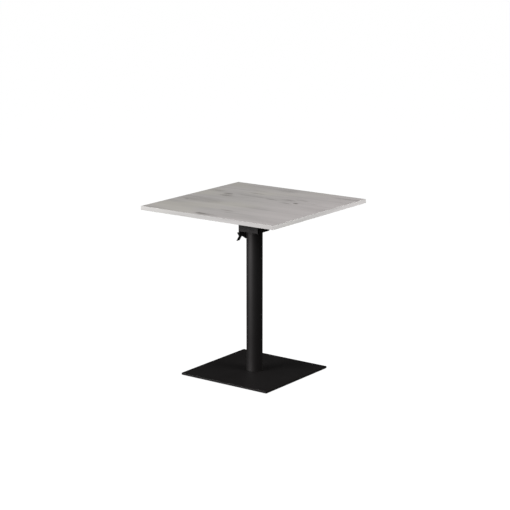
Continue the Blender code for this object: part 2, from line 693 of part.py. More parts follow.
def add_latch_lever(black, pivot):
    """A bent strip: hook, straight arm, and a finger paddle of a lower leg and an upper prong."""
    hub_z = SADDLE_BOTTOM - PADDLE_HUB_DROP
    leg = (LATCH_X - PADDLE_LEG[0], SADDLE_BOTTOM - PADDLE_LEG[1])
    prong = (LATCH_X - PADDLE_PRONG[0], SADDLE_BOTTOM - PADDLE_PRONG[1])
    outline = ribbon([(HOOK_X, HOOK_Z), (LATCH_X, HOOK_Z), (LATCH_X, hub_z), leg], LEVER_THICKNESS)
    half = LEVER_WIDTH / 2
    lever = add_piece("latch_lever", prism(outline, -half, half, "Y"), black, pivot)
    inner = half - LEVER_THICKNESS / 2
    upper = ribbon([(LATCH_X, hub_z), prong], LEVER_THICKNESS)
    shape_with(lever, "lever_prong", prism(upper, -inner, inner, "Y"), "UNION")
    reach = BRACKET_INSIDE - SEAT_GAP
    radius = LATCH_PIN_DIAMETER / 2 + EYE_WALL
    eye = turned([(radius, -reach), (radius, reach)])
    eye.transform(Matrix.Translation((LATCH_X, 0.0, LATCH_Z)) @ Matrix.Rotation(math.pi / 2, 4, "X"))
    shape_with(lever, "lever_eye", eye, "UNION")
    pin_hole = cross_drill(LATCH_PIN_DIAMETER, BRACKET_OUTSIDE, LATCH_X, LATCH_Z)
    shape_with(lever, "lever_bore_cutter", pin_hole)


def spring_points():
    """The wire's middle line from the bracket to the lever: a helix along -X with two straight ends."""
    start = BRACKET_FRONT - SEAT_GAP
    end = LATCH_X + LEVER_THICKNESS / 2 + SEAT_GAP
    radius = (SPRING_DIAMETER - SPRING_WIRE) / 2
    coil_start = start - SPRING_WIRE
    coil_end = end + SPRING_WIRE
    steps = SPRING_TURNS * SPRING_POINTS_PER_TURN
    points = [Vector((start, radius, 0.0))]
    for step in range(steps + 1):
        angle = math.tau * step / SPRING_POINTS_PER_TURN
        x = coil_start + (coil_end - coil_start) * step / steps
        points.append(Vector((x, radius * math.cos(angle), radius * math.sin(angle))))
    points.append(Vector((end, radius, 0.0)))
    return points


def add_latch_spring(steel):
    points = spring_points()
    apart = SPRING_POINTS_PER_TURN // 2
    gaps = [(a - b).length for i, a in enumerate(points) for b in points[i + apart:]]
    print(f"latch_spring: least gap to itself {(min(gaps) - SPRING_WIRE) * 1000:.2f} mm")
    curve = bpy.data.curves.new("latch_spring", "CURVE")
    curve.dimensions = "3D"
    curve.bevel_depth = SPRING_WIRE / 2
    curve.bevel_resolution = 1
    curve.use_fill_caps = True
    spline = curve.splines.new("POLY")
    spline.points.add(len(points) - 1)
    for spot, point in zip(spline.points, points):
        spot.co = (*point, 1.0)
    curve.materials.append(steel)
    spring = bpy.data.objects.new("latch_spring", curve)
    spring.location = (0.0, 0.0, LATCH_Z - SPRING_DROP)
    bpy.context.scene.collection.objects.link(spring)


def main():
    clear_scene()
    black = make_material("black_powder_coat", (0.018, 0.018, 0.019), 0.55, 0.0)
    zinc = make_material("zinc_plated_steel", (0.52, 0.52, 0.50), 0.35, 1.0)
    decor = make_material("grey_wood_decor", (0.43, 0.40, 0.39), 0.5, 0.0)
    board = make_material("chipboard", (0.45, 0.36, 0.25), 0.8, 0.0)
    rubber = make_material("black_rubber", (0.02, 0.02, 0.02), 0.9, 0.0)
    plastic = make_material("black_plastic", (0.03, 0.03, 0.03), 0.5, 0.0)
    tilt = make_pivot("top_tilt_axis", (HINGE_X, 0.0, HINGE_Z))
    latch = make_pivot("latch_axis", (LATCH_X, 0.0, LATCH_Z))
    add_base(black, zinc)
    add_feet(plastic, zinc)
    add_column(black)
    add_saddle(black, zinc, rubber)
    add_hinge(zinc, plastic, tilt)
    add_latch_bracket(black, zinc)
    add_latch_spring(zinc)
    add_latch_lever(black, latch)
    add_top_sheets(decor, board, tilt)
    add_mounting_plate(black, zinc, tilt)
    add_strike(black, zinc, tilt)


main()
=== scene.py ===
# %% [markdown]
# # Dressing a fold-up pedestal table
# The solids of the table come in finished and stay where they are: a square top with a light grey wood
# decor, a black steel head with a finger lever, a round column and a flat base plate. This lesson gives
# every surface its finish, rounds the edges that a workshop would round, and makes the small hardware in
# finer shapes. The first cell loads the solids.

# %% Load the frame
import json
import math

import bmesh
import bpy
from mathutils import Matrix, Vector


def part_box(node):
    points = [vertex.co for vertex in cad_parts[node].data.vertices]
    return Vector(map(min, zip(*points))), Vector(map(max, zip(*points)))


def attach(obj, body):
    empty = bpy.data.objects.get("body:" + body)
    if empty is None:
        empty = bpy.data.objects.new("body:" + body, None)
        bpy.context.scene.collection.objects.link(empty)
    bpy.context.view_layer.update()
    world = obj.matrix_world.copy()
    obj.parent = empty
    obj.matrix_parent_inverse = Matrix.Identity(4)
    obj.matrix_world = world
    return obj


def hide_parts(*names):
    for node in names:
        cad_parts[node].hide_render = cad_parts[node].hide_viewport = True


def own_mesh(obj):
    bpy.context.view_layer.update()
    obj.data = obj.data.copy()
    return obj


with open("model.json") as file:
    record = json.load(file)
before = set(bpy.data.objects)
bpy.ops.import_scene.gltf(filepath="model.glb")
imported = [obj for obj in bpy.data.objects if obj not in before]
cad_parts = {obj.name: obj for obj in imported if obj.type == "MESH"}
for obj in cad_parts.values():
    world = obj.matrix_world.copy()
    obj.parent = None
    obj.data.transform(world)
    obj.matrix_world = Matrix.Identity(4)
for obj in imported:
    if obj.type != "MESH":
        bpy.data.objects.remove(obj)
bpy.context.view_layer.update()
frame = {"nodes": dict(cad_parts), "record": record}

nodes = frame["nodes"]
record = frame["record"]
body_of = {node: body for body, members in record["behaviour"]["bodies"].items() for node in members}
slot_of = {subpart["node"]: subpart["material_slot"] for subpart in record["subparts"]}
scene = bpy.context.scene

# %% [markdown]
# ## The camera
# A picture of a product is often taken from far away with a long lens, because that keeps its upright lines
# upright. Here the lens is about 116 mm on a 36 mm sensor, 7 m from the table, 36 degrees to the right of
# the table's front (-Y) and looking 13 degrees down. Blender's camera looks along its own -Z, so a tilt of
# 90 degrees about X makes it look level, and the pitch is taken off that.

# %% Camera
CAMERA_PLACE = (4.0083, -5.4721, 2.1039)
CAMERA_TURN = 0.6322
CAMERA_PITCH = 0.2291
CAMERA_LENS = 115.575
CAMERA_SHIFT = 0.00087
CAMERA_REACH = 200.0

camera_data = bpy.data.cameras.new("camera")
camera_data.lens = CAMERA_LENS
camera_data.shift_x = CAMERA_SHIFT
camera_data.clip_end = CAMERA_REACH
camera = bpy.data.objects.new("camera", camera_data)
camera.location = CAMERA_PLACE
camera.rotation_euler = (math.pi / 2 - CAMERA_PITCH, 0.0, CAMERA_TURN)
scene.collection.objects.link(camera)
scene.camera = camera
print(f"camera {camera.location.length:.2f} m from the foot of the column")

# %% [markdown]
# ## One way to write node trees
# Shader nodes and geometry nodes are wired the same way, so one pair of small classes serves both. A Wire
# wraps a socket, and Python's operators on it add Math nodes: `1 - mask` becomes a Subtract node. A Board
# wraps a node tree and has one method that adds a node, sets it up and fills its sockets with numbers or
# with other wires. Without them each line of maths would take four lines of nodes and links.

# %% Wires and boards
NOISE_MIDDLE = 0.5


class Wire:
    """A socket that Python can calculate with."""

    def __init__(self, board, socket):
        self.board = board
        self.socket = socket

    def other(self, name):
        """Another output of the same node."""
        return Wire(self.board, self.socket.node.outputs[name])

    def math(self, operation, *values):
        return self.board.node("ShaderNodeMath", {"operation": operation}, dict(enumerate(values)))

    def __add__(self, value):
        return self.math("ADD", self, value)

    def __radd__(self, value):
        return self.math("ADD", value, self)

    def __sub__(self, value):
        return self.math("SUBTRACT", self, value)

    def __rsub__(self, value):
        return self.math("SUBTRACT", value, self)

    def __mul__(self, value):
        return self.math("MULTIPLY", self, value)

    def __rmul__(self, value):
        return self.math("MULTIPLY", value, self)

    def __truediv__(self, value):
        return self.math("DIVIDE", self, value)

    def __rtruediv__(self, value):
        return self.math("DIVIDE", value, self)

    def __mod__(self, value):
        return self.math("FLOORED_MODULO", self, value)

    def __gt__(self, value):
        return self.math("GREATER_THAN", self, value)

    def parts(self):
        """The x, y and z of a vector."""
        split = self.board.node("ShaderNodeSeparateXYZ", {}, {0: self})
        return split, split.other("Y"), split.other("Z")

    def centred(self):
        """A noise of 0 to 1 about its middle, so that it takes away as much as it adds."""
        return self - NOISE_MIDDLE


class Board:
    """A node tree while it is being wired."""

    def __init__(self, tree):
        self.tree = tree

    def node(self, kind, settings, values, output=0):
        """Adds a node, sets it up, fills its sockets and gives back one of its outputs."""
        made = self.tree.nodes.new(kind)
        for name, value in settings.items():
            setattr(made, name, value)
        for key, value in values.items():
            self.fill(made.inputs[key], value)
        return Wire(self, made.outputs[output])

    def fill(self, socket, value):
        if isinstance(value, Wire):
            self.tree.links.new(value.socket, socket)
        else:
            socket.default_value = value

    def vector(self, x, y, z):
        return self.node("ShaderNodeCombineXYZ", {}, {"X": x, "Y": y, "Z": z})

    def noise(self, place, scale, detail=2.0, roughness=0.5):
        values = {"Vector": place, "Scale": scale, "Detail": detail, "Roughness": roughness}
        return self.node("ShaderNodeTexNoise", {}, values)

    def smooth(self, value, start, end):
        """0 before start, 1 after end and an S-shaped rise between them."""
        values = {"Value": value, "From Min": start, "From Max": end}
        return self.node("ShaderNodeMapRange", {"interpolation_type": "SMOOTHSTEP"}, values)

    def mix(self, share, first, second):
        """A colour between two colours. Index 0 is the factor, 6 and 7 are the colours, 2 is the result."""
        return self.node("ShaderNodeMix", {"data_type": "RGBA"}, {0: share, 6: first, 7: second}, 2)

    def bump(self, height, depth, strength):
        values = {"Height": height, "Distance": depth, "Strength": strength}
        return self.node("ShaderNodeBump", {}, values)


print("wires and boards are ready")

# %% [markdown]
# ## The finishes
# Every finish starts from a Principled shader and from Object coordinates, which are metres here because
# the pieces sit at the origin. A pattern of 0.5 mm is then a noise of scale 2000, and it stays the same
# size on every piece.

# %% Starting a finish


def start_finish(name):
    material = bpy.data.materials.new(name)
    material.use_nodes = True
    board = Board(material.node_tree)
    place = board.node("ShaderNodeTexCoord", {}, {}, "Object")
    return material, board, place


def end_finish(material, board, values):
    shader = material.node_tree.nodes["Principled BSDF"]
    for name, value in values.items():
        board.fill(shader.inputs[name], value)
    return material


finishes = {}
print("finishes start from Object coordinates, in metres")

# %% [markdown]
# ## The studio
# The floor and the backdrop are plain and almost white, so that the black base stands out. A pale floor
# would mirror itself in the black steel and turn it grey, so the floor is hidden from reflections and from
# bounced light, as black cards do in a real studio. Its own glow keeps its shadows faint. One large soft
# light on the left draws the bright strip down the column. The lights that only have to brighten the
# table's surface and its edges are hidden from reflections, and two dim ones at the back leave a thin line
# on the dark sides.

# %% Floor, world and lights
WHITE = (1.0, 1.0, 1.0, 1.0)
FLOOR_SIDE = 160.0
FLOOR_SHADE = 0.05
FLOOR_GLOW = 0.985
GLOSSY_AMBIENT = 0.006
DIFFUSE_AMBIENT = 0.28
AIM = Vector((0.0, 0.0, 0.5))

# Azimuth from the front (-Y) to the right, height, distance, (width, height), power, seen in reflections
LIGHTS = {
    "key_light": (-27.0, 1.76, 3.2, (2.0, 1.0), 167.0, True),
    "right_light": (98.0, 2.35, 3.2, (1.8, 1.8), 176.0, False),
    "back_left_light": (-110.0, 1.0, 3.4, (1.6, 1.6), 2.6, True),
    "back_right_light": (188.0, 0.45, 3.4, (1.6, 0.8), 3.4, True),
    "back_light": (175.0, 2.4, 3.2, (1.8, 1.8), 32.0, False),
}


def mesh_of(bm, name):
    """A mesh with the shape of a bmesh, which is then freed."""
    mesh = bpy.data.meshes.new(name)
    bm.to_mesh(mesh)
    bm.free()
    return mesh


def add_floor():
    bm = bmesh.new()
    bmesh.ops.create_grid(bm, x_segments=1, y_segments=1, size=FLOOR_SIDE / 2)
    mesh = mesh_of(bm, "floor")
    floor = bpy.data.objects.new("floor", mesh)
    scene.collection.objects.link(floor)
    material, board, _ = start_finish("floor_paint")
    values = {
        "Base Color": (FLOOR_SHADE, FLOOR_SHADE, FLOOR_SHADE, 1.0),
        "Roughness": 1.0,
        "Specular IOR Level": 0.0,
        "Emission Color": WHITE,
        "Emission Strength": FLOOR_GLOW,
    }
    mesh.materials.append(end_finish(material, board, values))
    floor.visible_glossy = False
    floor.visible_diffuse = False


def add_world():
    """As white as the floor to the camera, dim on matt surfaces and almost dark in reflections."""
    world = bpy.data.worlds.new("studio")
    world.use_nodes = True
    scene.world = world
    board = Board(world.node_tree)
    path = board.node("ShaderNodeLightPath", {}, {}, "Is Camera Ray")
    matt = path.other("Is Diffuse Ray")
    backdrop = FLOOR_GLOW + FLOOR_SHADE * DIFFUSE_AMBIENT
    seen = path * (backdrop - GLOSSY_AMBIENT)
    strength = seen + matt * (DIFFUSE_AMBIENT - GLOSSY_AMBIENT) + GLOSSY_AMBIENT
    background = world.node_tree.nodes["Background"]
    background.inputs["Color"].default_value = WHITE
    board.fill(background.inputs["Strength"], strength)


def add_light(name, azimuth, height, distance, extent, power, mirrored):
    data = bpy.data.lights.new(name, "AREA")
    data.shape = "RECTANGLE"
    data.size, data.size_y = extent
    data.energy = power
    light = bpy.data.objects.new(name, data)
    angle = math.radians(azimuth)
    light.location = (distance * math.sin(angle), -distance * math.cos(angle), height)
    light.rotation_euler = (AIM - light.location).to_track_quat("-Z", "Y").to_euler()
    light.visible_camera = False
    light.visible_glossy = mirrored
    scene.collection.objects.link(light)


add_floor()
add_world()
for light_name, light_values in LIGHTS.items():
    add_light(light_name, *light_values)
scene.view_settings.view_transform = "Standard"
print(f"a floor of {FLOOR_SIDE:.0f} m and {len(LIGHTS)} lights")

# %% [markdown]
# ## Black powder coat
# The column, base and head are steel with a baked powder coat. It has a fine pebbled skin, so its gloss is
# broken up, and it is a very dark grey rather than a true black. A flat black would lose the pebbles, and a
# mirror-like one would look like plastic. Noise of half a millimetre makes the pebbles in a Bump node, and
# a slow noise varies the roughness as handling and dust do. Shoes take the gloss off the upper face of the
# base plate, and fingers take it off the lever. The lever's colour is also painted lighter than the coat,
# as painted light on its side in shade. The bracket has a matt grade, which shows no gloss under the
# table, and its colour is painted darker than any paint, as painted shade under the head.

# %% Powder coat
SATIN_BLACK = (0.0051, 0.0047, 0.0047, 1.0)
SATIN_DUSTY = (0.0091, 0.0084, 0.0084, 1.0)
# Painted light: the lever's colours are several times lighter than the satin coat, so its side in shade
# reads as lit
LEVER_PAINTED_LIGHT_BLACK = (0.0220, 0.0206, 0.0204, 1.0)
LEVER_PAINTED_LIGHT_DUSTY = (0.0390, 0.0366, 0.0360, 1.0)
# Painted shade: the bracket's colours are darker than any real paint, to stand in for the shade under the
# head
MATT_PAINTED_SHADE_BLACK = (0.0016, 0.0015, 0.0015, 1.0)
MATT_PAINTED_SHADE_DUSTY = (0.0036, 0.0034, 0.0034, 1.0)
COAT_TINT = (1.0, 0.95, 0.955, 1.0)
COAT_PEBBLE_SCALE = 2200.0
COAT_PEBBLE_DEPTH = 0.00005
COAT_PEBBLE_BUMP = 0.5
COAT_CLOUD_SCALE = 9.0
COAT_SPECK_SCALE = 440.0
COAT_SPECK_RANGE = (0.62, 0.74)
COAT_SPECK_SHARE = 0.3
COAT_UNEVENNESS = 0.06

# Colour, colour under dust, roughness and gloss of each grade
COAT_GRADES = {
    "powder_coat": (SATIN_BLACK, SATIN_DUSTY, 0.43, 1.0),
    "scuffed_powder_coat": (SATIN_BLACK, SATIN_DUSTY, 0.62, 0.12),
    # The lever's grade: painted light in a lighter colour, with a rougher and duller gloss
    "painted_light_lever_powder_coat": (LEVER_PAINTED_LIGHT_BLACK, LEVER_PAINTED_LIGHT_DUSTY, 0.62, 0.2),
    # The bracket's grade: painted shade in a darker colour, with almost no gloss
    "matt_painted_shade_powder_coat": (MATT_PAINTED_SHADE_BLACK, MATT_PAINTED_SHADE_DUSTY, 0.62, 0.03),
}


def powder_coat(name, dark, dusty, roughness, gloss):
    material, board, place = start_finish(name)
    pebbles = board.noise(place, COAT_PEBBLE_SCALE, detail=1.0)
    clouds = board.noise(place, COAT_CLOUD_SCALE, detail=4.0, roughness=0.6)
    specks = board.smooth(board.noise(place, COAT_SPECK_SCALE), *COAT_SPECK_RANGE)
    dust = clouds * (1 - COAT_SPECK_SHARE) + specks * COAT_SPECK_SHARE
    values = {
        "Base Color": board.mix(dust, dark, dusty),
        "Roughness": roughness + clouds.centred() * COAT_UNEVENNESS + pebbles.centred() * COAT_UNEVENNESS,
        "Specular IOR Level": gloss,
        "Specular Tint": COAT_TINT,
        "Normal": board.bump(pebbles, COAT_PEBBLE_DEPTH, COAT_PEBBLE_BUMP),
    }
    return end_finish(material, board, values)


coats = {name: powder_coat(name, *grade) for name, grade in COAT_GRADES.items()}
finishes["black_powder_coat"] = coats["powder_coat"]
print(f"powder coat: pebbles of about {1000 / COAT_PEBBLE_SCALE:.1f} mm, in {len(coats)} grades")

# %% [markdown]
# ## Zinc plating
# Screws, studs, washers and the spring are zinc plated. Zinc is bright but cloudy: small crystals scatter
# the light, and a thin passivation tints it a little blue and yellow. Metallic stays at 1 all over, so it
# is set on the socket, and only colour and roughness vary.

# %% Zinc
ZINC_BLUE = (0.31, 0.32, 0.335, 1.0)
ZINC_YELLOW = (0.37, 0.35, 0.31, 1.0)
ZINC_CRYSTAL_SCALE = 1400.0
ZINC_TINT_SCALE = 160.0
ZINC_TINT_RANGE = (0.35, 0.65)
ZINC_ROUGHNESS = 0.40
ZINC_CRYSTAL_ROUGHNESS = 0.12
ZINC_TINT_ROUGHNESS = 0.1


def zinc_plating():
    material, board, place = start_finish("zinc_plating")
    crystals = board.node("ShaderNodeTexVoronoi", {}, {"Vector": place, "Scale": ZINC_CRYSTAL_SCALE})
    tint = board.noise(place, ZINC_TINT_SCALE, detail=3.0)
    roughness = ZINC_ROUGHNESS + crystals * ZINC_CRYSTAL_ROUGHNESS + tint.centred() * ZINC_TINT_ROUGHNESS
    values = {
        "Base Color": board.mix(board.smooth(tint, *ZINC_TINT_RANGE), ZINC_BLUE, ZINC_YELLOW),
        "Metallic": 1.0,
        "Roughness": roughness,
    }
    return end_finish(material, board, values)


finishes["zinc_steel"] = zinc_plating()
print(f"zinc: crystals of about {1000 / ZINC_CRYSTAL_SCALE:.1f} mm")

# %% [markdown]
# ## The wood decor
# The surface is a laminate printed with a light grey, limed oak. Printed wood still follows the rules of
# wood: clouds of darker and lighter years, fine lines along the grain, thin cracks, dark streaks, and knots
# that push the lines aside. The grain runs along X. Stretching a noise along X makes lines, and adding to Y
# before the noise is read bends them: a slow noise makes them wander, and around each knot a bell-shaped
# push makes them swerve. The knots and streaks are listed in metres, as a decor designer would
# place them.

# %% Colours, knots and streaks
DECOR_LIGHT = (0.374, 0.358, 0.349, 1.0)
DECOR_GREY = (0.239, 0.230, 0.223, 1.0)
DECOR_WARM = (0.344, 0.317, 0.317, 1.0)
DECOR_STRAW = (0.351, 0.337, 0.302, 1.0)
DECOR_HEART = (0.066, 0.058, 0.051, 1.0)

# Place along and across the grain, half length, half width, darkness
KNOTS = (
    (-0.208, 0.092, 0.027, 0.0165, 0.62),
    (0.154, 0.082, 0.014, 0.0115, 0.92),
    (-0.050, -0.308, 0.028, 0.0105, 0.45),
    (-0.284, -0.102, 0.011, 0.0085, 0.45),
)
STREAKS = (
    (-0.194, 0.070, 0.042, 0.0150, 0.90),
    (0.090, 0.120, 0.046, 0.0110, 0.80),
    (0.112, 0.066, 0.045, 0.0085, 0.70),
    (0.018, 0.094, 0.036, 0.0100, 0.70),
    (-0.085, 0.102, 0.095, 0.0090, 0.36),
    (-0.295, 0.118, 0.055, 0.0160, 0.50),
    (-0.105, 0.160, 0.050, 0.0110, 0.55),
    (0.140, 0.150, 0.036, 0.0090, 0.65),
    (0.284, 0.282, 0.085, 0.0120, 0.55),
    (-0.027, 0.311, 0.055, 0.0110, 0.30),
    (-0.015, -0.312, 0.070, 0.0100, 0.40),
    (-0.250, -0.075, 0.160, 0.0600, 0.30),
)
print(f"decor with {len(KNOTS)} knots and {len(STREAKS)} streaks, grain along X")

# %% [markdown]
# ### Layers of grain
# Every layer of the print is one noise, stretched along the grain and read from its own slice, so that no
# two look alike. A knot measures the distance from its middle in ellipses, and a sine of it makes the
# rings.

# %% Grain, knots and cracks
# Waves per metre along and across the grain, the slice through the noise, its detail and its roughness
GRAIN = {
    "wander": (2.4, 5.0, 0.0, 2.0, 0.5),
    "uneven": (40.0, 70.0, 17.0, 3.0, 0.6),
    "clouds": (2.2, 7.0, 3.0, 2.0, 0.5),
    "tints": (3.0, 6.0, 53.0, 2.0, 0.5),
    "years": (1.3, 46.0, 7.0, 4.0, 0.62),
    "fibres": (15.0, 480.0, 11.0, 3.0, 0.65),
    "scratches": (8.0, 300.0, 41.0, 3.0, 0.6),
    "cracks": (1.1, 30.0, 27.0, 1.0, 0.5),
    "crack_places": (5.0, 12.0, 31.0, 2.0, 0.5),
}
KNOT_PUSH = 0.75
KNOT_FADE = 0.12
KNOT_UNEVENNESS = 0.8
RING_WAVES = 19.0
RING_SWING = 0.2
RING_MEAN = 0.6
EYE_RANGE = (1.05, 0.7)
HEART_RANGE = (0.55, 0.1)
HEART_SHARE = 0.3
CRACK_RANGE = (0.022, 0.0)
CRACK_PLACE_RANGE = (0.50, 0.66)


def grain(board, along, across, layer):
    """One layer of noise, stretched along the grain."""
    along_waves, across_waves, level, detail, roughness = GRAIN[layer]
    place = board.vector(along * along_waves, across * across_waves, level)
    return board.noise(place, 1.0, detail, roughness)


def squares(along, across, spot):
    """The square of how far a point is from a spot, where 1 is the edge of an ellipse round the spot."""
    u, v, length, width, _ = spot
    du = (along - u) / length
    dv = (across - v) / width
    return du * du + dv * dv


def knot(board, along, across, spot, uneven):
    """How far a knot pushes the grain aside, and how dark it is: a ringed eye with a darker heart."""
    _, v, _, _, darkness = spot
    reach = squares(along, across, spot)
    bell = reach.math("EXPONENT", reach * -KNOT_FADE)
    radius = reach.math("SQRT", reach) + uneven.centred() * KNOT_UNEVENNESS
    rings = radius.math("SINE", radius * RING_WAVES) * RING_SWING + RING_MEAN
    eye = board.smooth(radius, *EYE_RANGE) * rings + board.smooth(radius, *HEART_RANGE) * HEART_SHARE
    return (across - v) * bell * -KNOT_PUSH, eye * darkness


def cracks(board, along, bent):
    """Thin dark lines along the grain, where a slow noise crosses its middle, and only in some places."""
    slow = grain(board, along, bent, "cracks").centred()
    line = board.smooth(slow.math("ABSOLUTE", slow), *CRACK_RANGE)
    return line * board.smooth(grain(board, along, bent, "crack_places"), *CRACK_PLACE_RANGE)


print(f"{len(GRAIN)} layers of grain")

# %% [markdown]
# ### The print
# The layers are laid over each other like inks: light and grey wood, a warm and a straw tint over wide
# areas, then pores, cracks, streaks and knots. The edging comes on rolls of its own, so its print is
# plainer and lighter and has no knots.

# %% The printed decor
WANDER = 0.028
SCRATCH_RANGE = (0.40, 0.58)
STREAK_RANGE = (1.2, 0.0)
STREAK_UNEVENNESS = 1.2
TONE_MEAN = 0.56
CLOUD_TONE = 0.8
YEAR_TONE = 0.9
FIBRE_TONE = 0.35
WARM_RANGE = (-0.15, 0.30)
WARM_BLUR = 0.7
WARM_SHARE = 0.45
STRAW_RANGE = (0.46, 0.72)
STRAW_FADE = 0.25
STRAW_SHARE = 0.5
PORE_RANGE = (0.60, 0.72)
PORE_SHARE = 0.2
PORE_DEPTH = 0.6
PORE_ROUGHNESS = 0.12
CRACK_SHARE = 0.45
DECOR_ROUGHNESS = 0.52
FIBRE_ROUGHNESS = 0.2
DECOR_GLOSS = 0.3
DECOR_DEPTH = 0.00012
DECOR_BUMP = 0.45
EDGING_TONE = {"Saturation": 0.65, "Value": 1.14}


def marks(board, along, across, bent):
    """The lines of the grain as the knots bend them, and how dark the knots and streaks are."""
    uneven = grain(board, along, across, "uneven")
    dark = 0.0
    for spot in KNOTS:
        push, eye = knot(board, along, across, spot, uneven)
        bent = bent + push
        dark = eye + dark
    lines = board.smooth(grain(board, along, bent, "scratches"), *SCRATCH_RANGE)
    for spot in STREAKS:
        reach = squares(along, bent, spot) + uneven.centred() * STREAK_UNEVENNESS
        dark = board.smooth(reach, *STREAK_RANGE) * lines * spot[-1] + dark
    return bent, dark


def decor(name, along_axis, across_axis, marked, tone_shift):
    """The printed wood, with its grain along one axis."""
    material, board, place = start_finish(name)
    axes = dict(zip("XYZ", place.parts()))
    along = axes[along_axis]
    across = axes[across_axis]
    bent = across + grain(board, along, across, "wander").centred() * WANDER
    dark = 0.0
    if marked:
        bent, dark = marks(board, along, across, bent)
    clouds = grain(board, along, bent, "clouds")
    tints = grain(board, along, bent, "tints")
    years = grain(board, along, bent, "years")
    fibres = grain(board, along, bent, "fibres")
    pores = board.smooth(fibres, *PORE_RANGE)
    tone = TONE_MEAN + clouds.centred() * CLOUD_TONE
    tone = tone + years.centred() * YEAR_TONE + fibres.centred() * FIBRE_TONE
    warm = board.smooth(along + clouds.centred() * WARM_BLUR, *WARM_RANGE) * WARM_SHARE
    straw = board.smooth(tints - along * STRAW_FADE, *STRAW_RANGE) * STRAW_SHARE
    colour = board.mix(board.smooth(tone, 0.0, 1.0), DECOR_GREY, DECOR_LIGHT)
    colour = board.mix(warm, colour, DECOR_WARM)
    colour = board.mix(straw, colour, DECOR_STRAW)
    colour = board.mix(pores * PORE_SHARE, colour, DECOR_GREY)
    colour = board.mix(cracks(board, along, bent) * CRACK_SHARE + dark, colour, DECOR_HEART)
    values = {
        "Base Color": board.node("ShaderNodeHueSaturation", {}, {"Color": colour, **tone_shift}),
        "Roughness": DECOR_ROUGHNESS + fibres.centred() * FIBRE_ROUGHNESS + pores * PORE_ROUGHNESS,
        "Specular IOR Level": DECOR_GLOSS,
        "Normal": board.bump(fibres - pores * PORE_DEPTH, DECOR_DEPTH, DECOR_BUMP),
    }
    return end_finish(material, board, values)


finishes["grey_wood_decor"] = decor("oak_print", "X", "Y", True, {})
edging_along_x = decor("oak_edging_along_x", "X", "Z", False, EDGING_TONE)
edging_along_y = decor("oak_edging_along_y", "Y", "Z", False, EDGING_TONE)
print("one print for the surface and two for the edging")

# %% [markdown]
# ## The other finishes
# Under the decor is chipboard, which shows only where a pilot hole opens it: flat chips of a few
# millimetres in several browns, which a Voronoi texture gives. The underside has a plain grey balancing
# sheet with a faint orange-peel skin. Rubber and nylon are both black, but rubber is chalky and nylon has a
# soft moulded gloss.

# %% Chipboard, balancing sheet, rubber and nylon
CHIP_DARK = (0.33, 0.24, 0.15, 1.0)
CHIP_PALE = (0.62, 0.50, 0.35, 1.0)
BACKING_GREY = (0.40, 0.39, 0.38, 1.0)
BACKING_PALE = (0.47, 0.46, 0.45, 1.0)
RUBBER_BLACK = (0.012, 0.012, 0.012, 1.0)
RUBBER_CHALK = (0.035, 0.034, 0.033, 1.0)
NYLON_BLACK = (0.010, 0.010, 0.011, 1.0)
NYLON_WORN = (0.024, 0.024, 0.025, 1.0)
CHIP_FLATTENING = (1.0, 1.0, 4.0)
CHIP_SCALE = 320.0
CHIP_DEPTH = 0.0003
CHIP_BUMP = 0.6
CHIP_ROUGHNESS = 0.75
DUST_SCALE = 900.0
DUST_SHARE = 0.2
DUST_ROUGHNESS = 0.2
SKIN_CLOUD_RANGE = (0.3, 0.75)
SKIN_CLOUD_ROUGHNESS = 0.12
SKIN_GRAIN_ROUGHNESS = 0.08
SKIN_BUMP = 0.5

# Name, dark and pale colour, scale of the grain and of the clouds, roughness, depth of the grain in metres
SKINS = {
    "grey_backing": ("balancing_sheet", BACKING_GREY, BACKING_PALE, 700.0, 6.0, 0.55, 0.00006),
    "black_rubber": ("rubber", RUBBER_BLACK, RUBBER_CHALK, 1500.0, 60.0, 0.82, 0.00008),
    "black_plastic": ("nylon", NYLON_BLACK, NYLON_WORN, 1100.0, 45.0, 0.42, 0.00004),
}


def chipboard():
    material, board, place = start_finish("pressed_chips")
    flat = board.node("ShaderNodeVectorMath", {"operation": "MULTIPLY"}, {0: place, 1: CHIP_FLATTENING})
    chips = board.node("ShaderNodeTexVoronoi", {}, {"Vector": flat, "Scale": CHIP_SCALE}, "Color")
    shade, _, _ = chips.parts()
    dust = board.noise(place, DUST_SCALE, detail=3.0)
    values = {
        "Base Color": board.mix(shade * (1 - DUST_SHARE) + dust * DUST_SHARE, CHIP_DARK, CHIP_PALE),
        "Roughness": CHIP_ROUGHNESS + dust * DUST_ROUGHNESS,
        "Normal": board.bump(shade + dust, CHIP_DEPTH, CHIP_BUMP),
    }
    return end_finish(material, board, values)


def skin(name, dark, pale, grain_scale, cloud_scale, roughness, depth):
    """A plain moulded or pressed surface: slow clouds of colour and a fine grain in the bump."""
    material, board, place = start_finish(name)
    dimples = board.noise(place, grain_scale)
    clouds = board.noise(place, cloud_scale, detail=4.0, roughness=0.6)
    uneven = clouds.centred() * SKIN_CLOUD_ROUGHNESS + dimples.centred() * SKIN_GRAIN_ROUGHNESS
    values = {
        "Base Color": board.mix(board.smooth(clouds, *SKIN_CLOUD_RANGE), dark, pale),
        "Roughness": roughness + uneven,
        "Normal": board.bump(dimples, depth, SKIN_BUMP),
    }
    return end_finish(material, board, values)


finishes["chipboard"] = chipboard()
for slot_name, skin_values in SKINS.items():
    finishes[slot_name] = skin(*skin_values)
print(f"{len(finishes)} finishes")

# %% [markdown]
# ## Putting a piece in a solid's place
# A finer piece takes the place of one or more solids. It rides on the same body, so it moves with the same
# joint, and it has the same material slot. Both are read from the record of the table, so no name is typed
# twice. Smooth shading alone would let a narrow rounded edge bend the shading of the wide flat face beside
# it. The Weighted Normal modifier lets the larger face decide, so that flat stays flat.

# %% Standing in for a solid
SMOOTH_ANGLE = math.radians(35)
FLAT_FACE_WEIGHT = 100
MERGE_DISTANCE = 0.000002


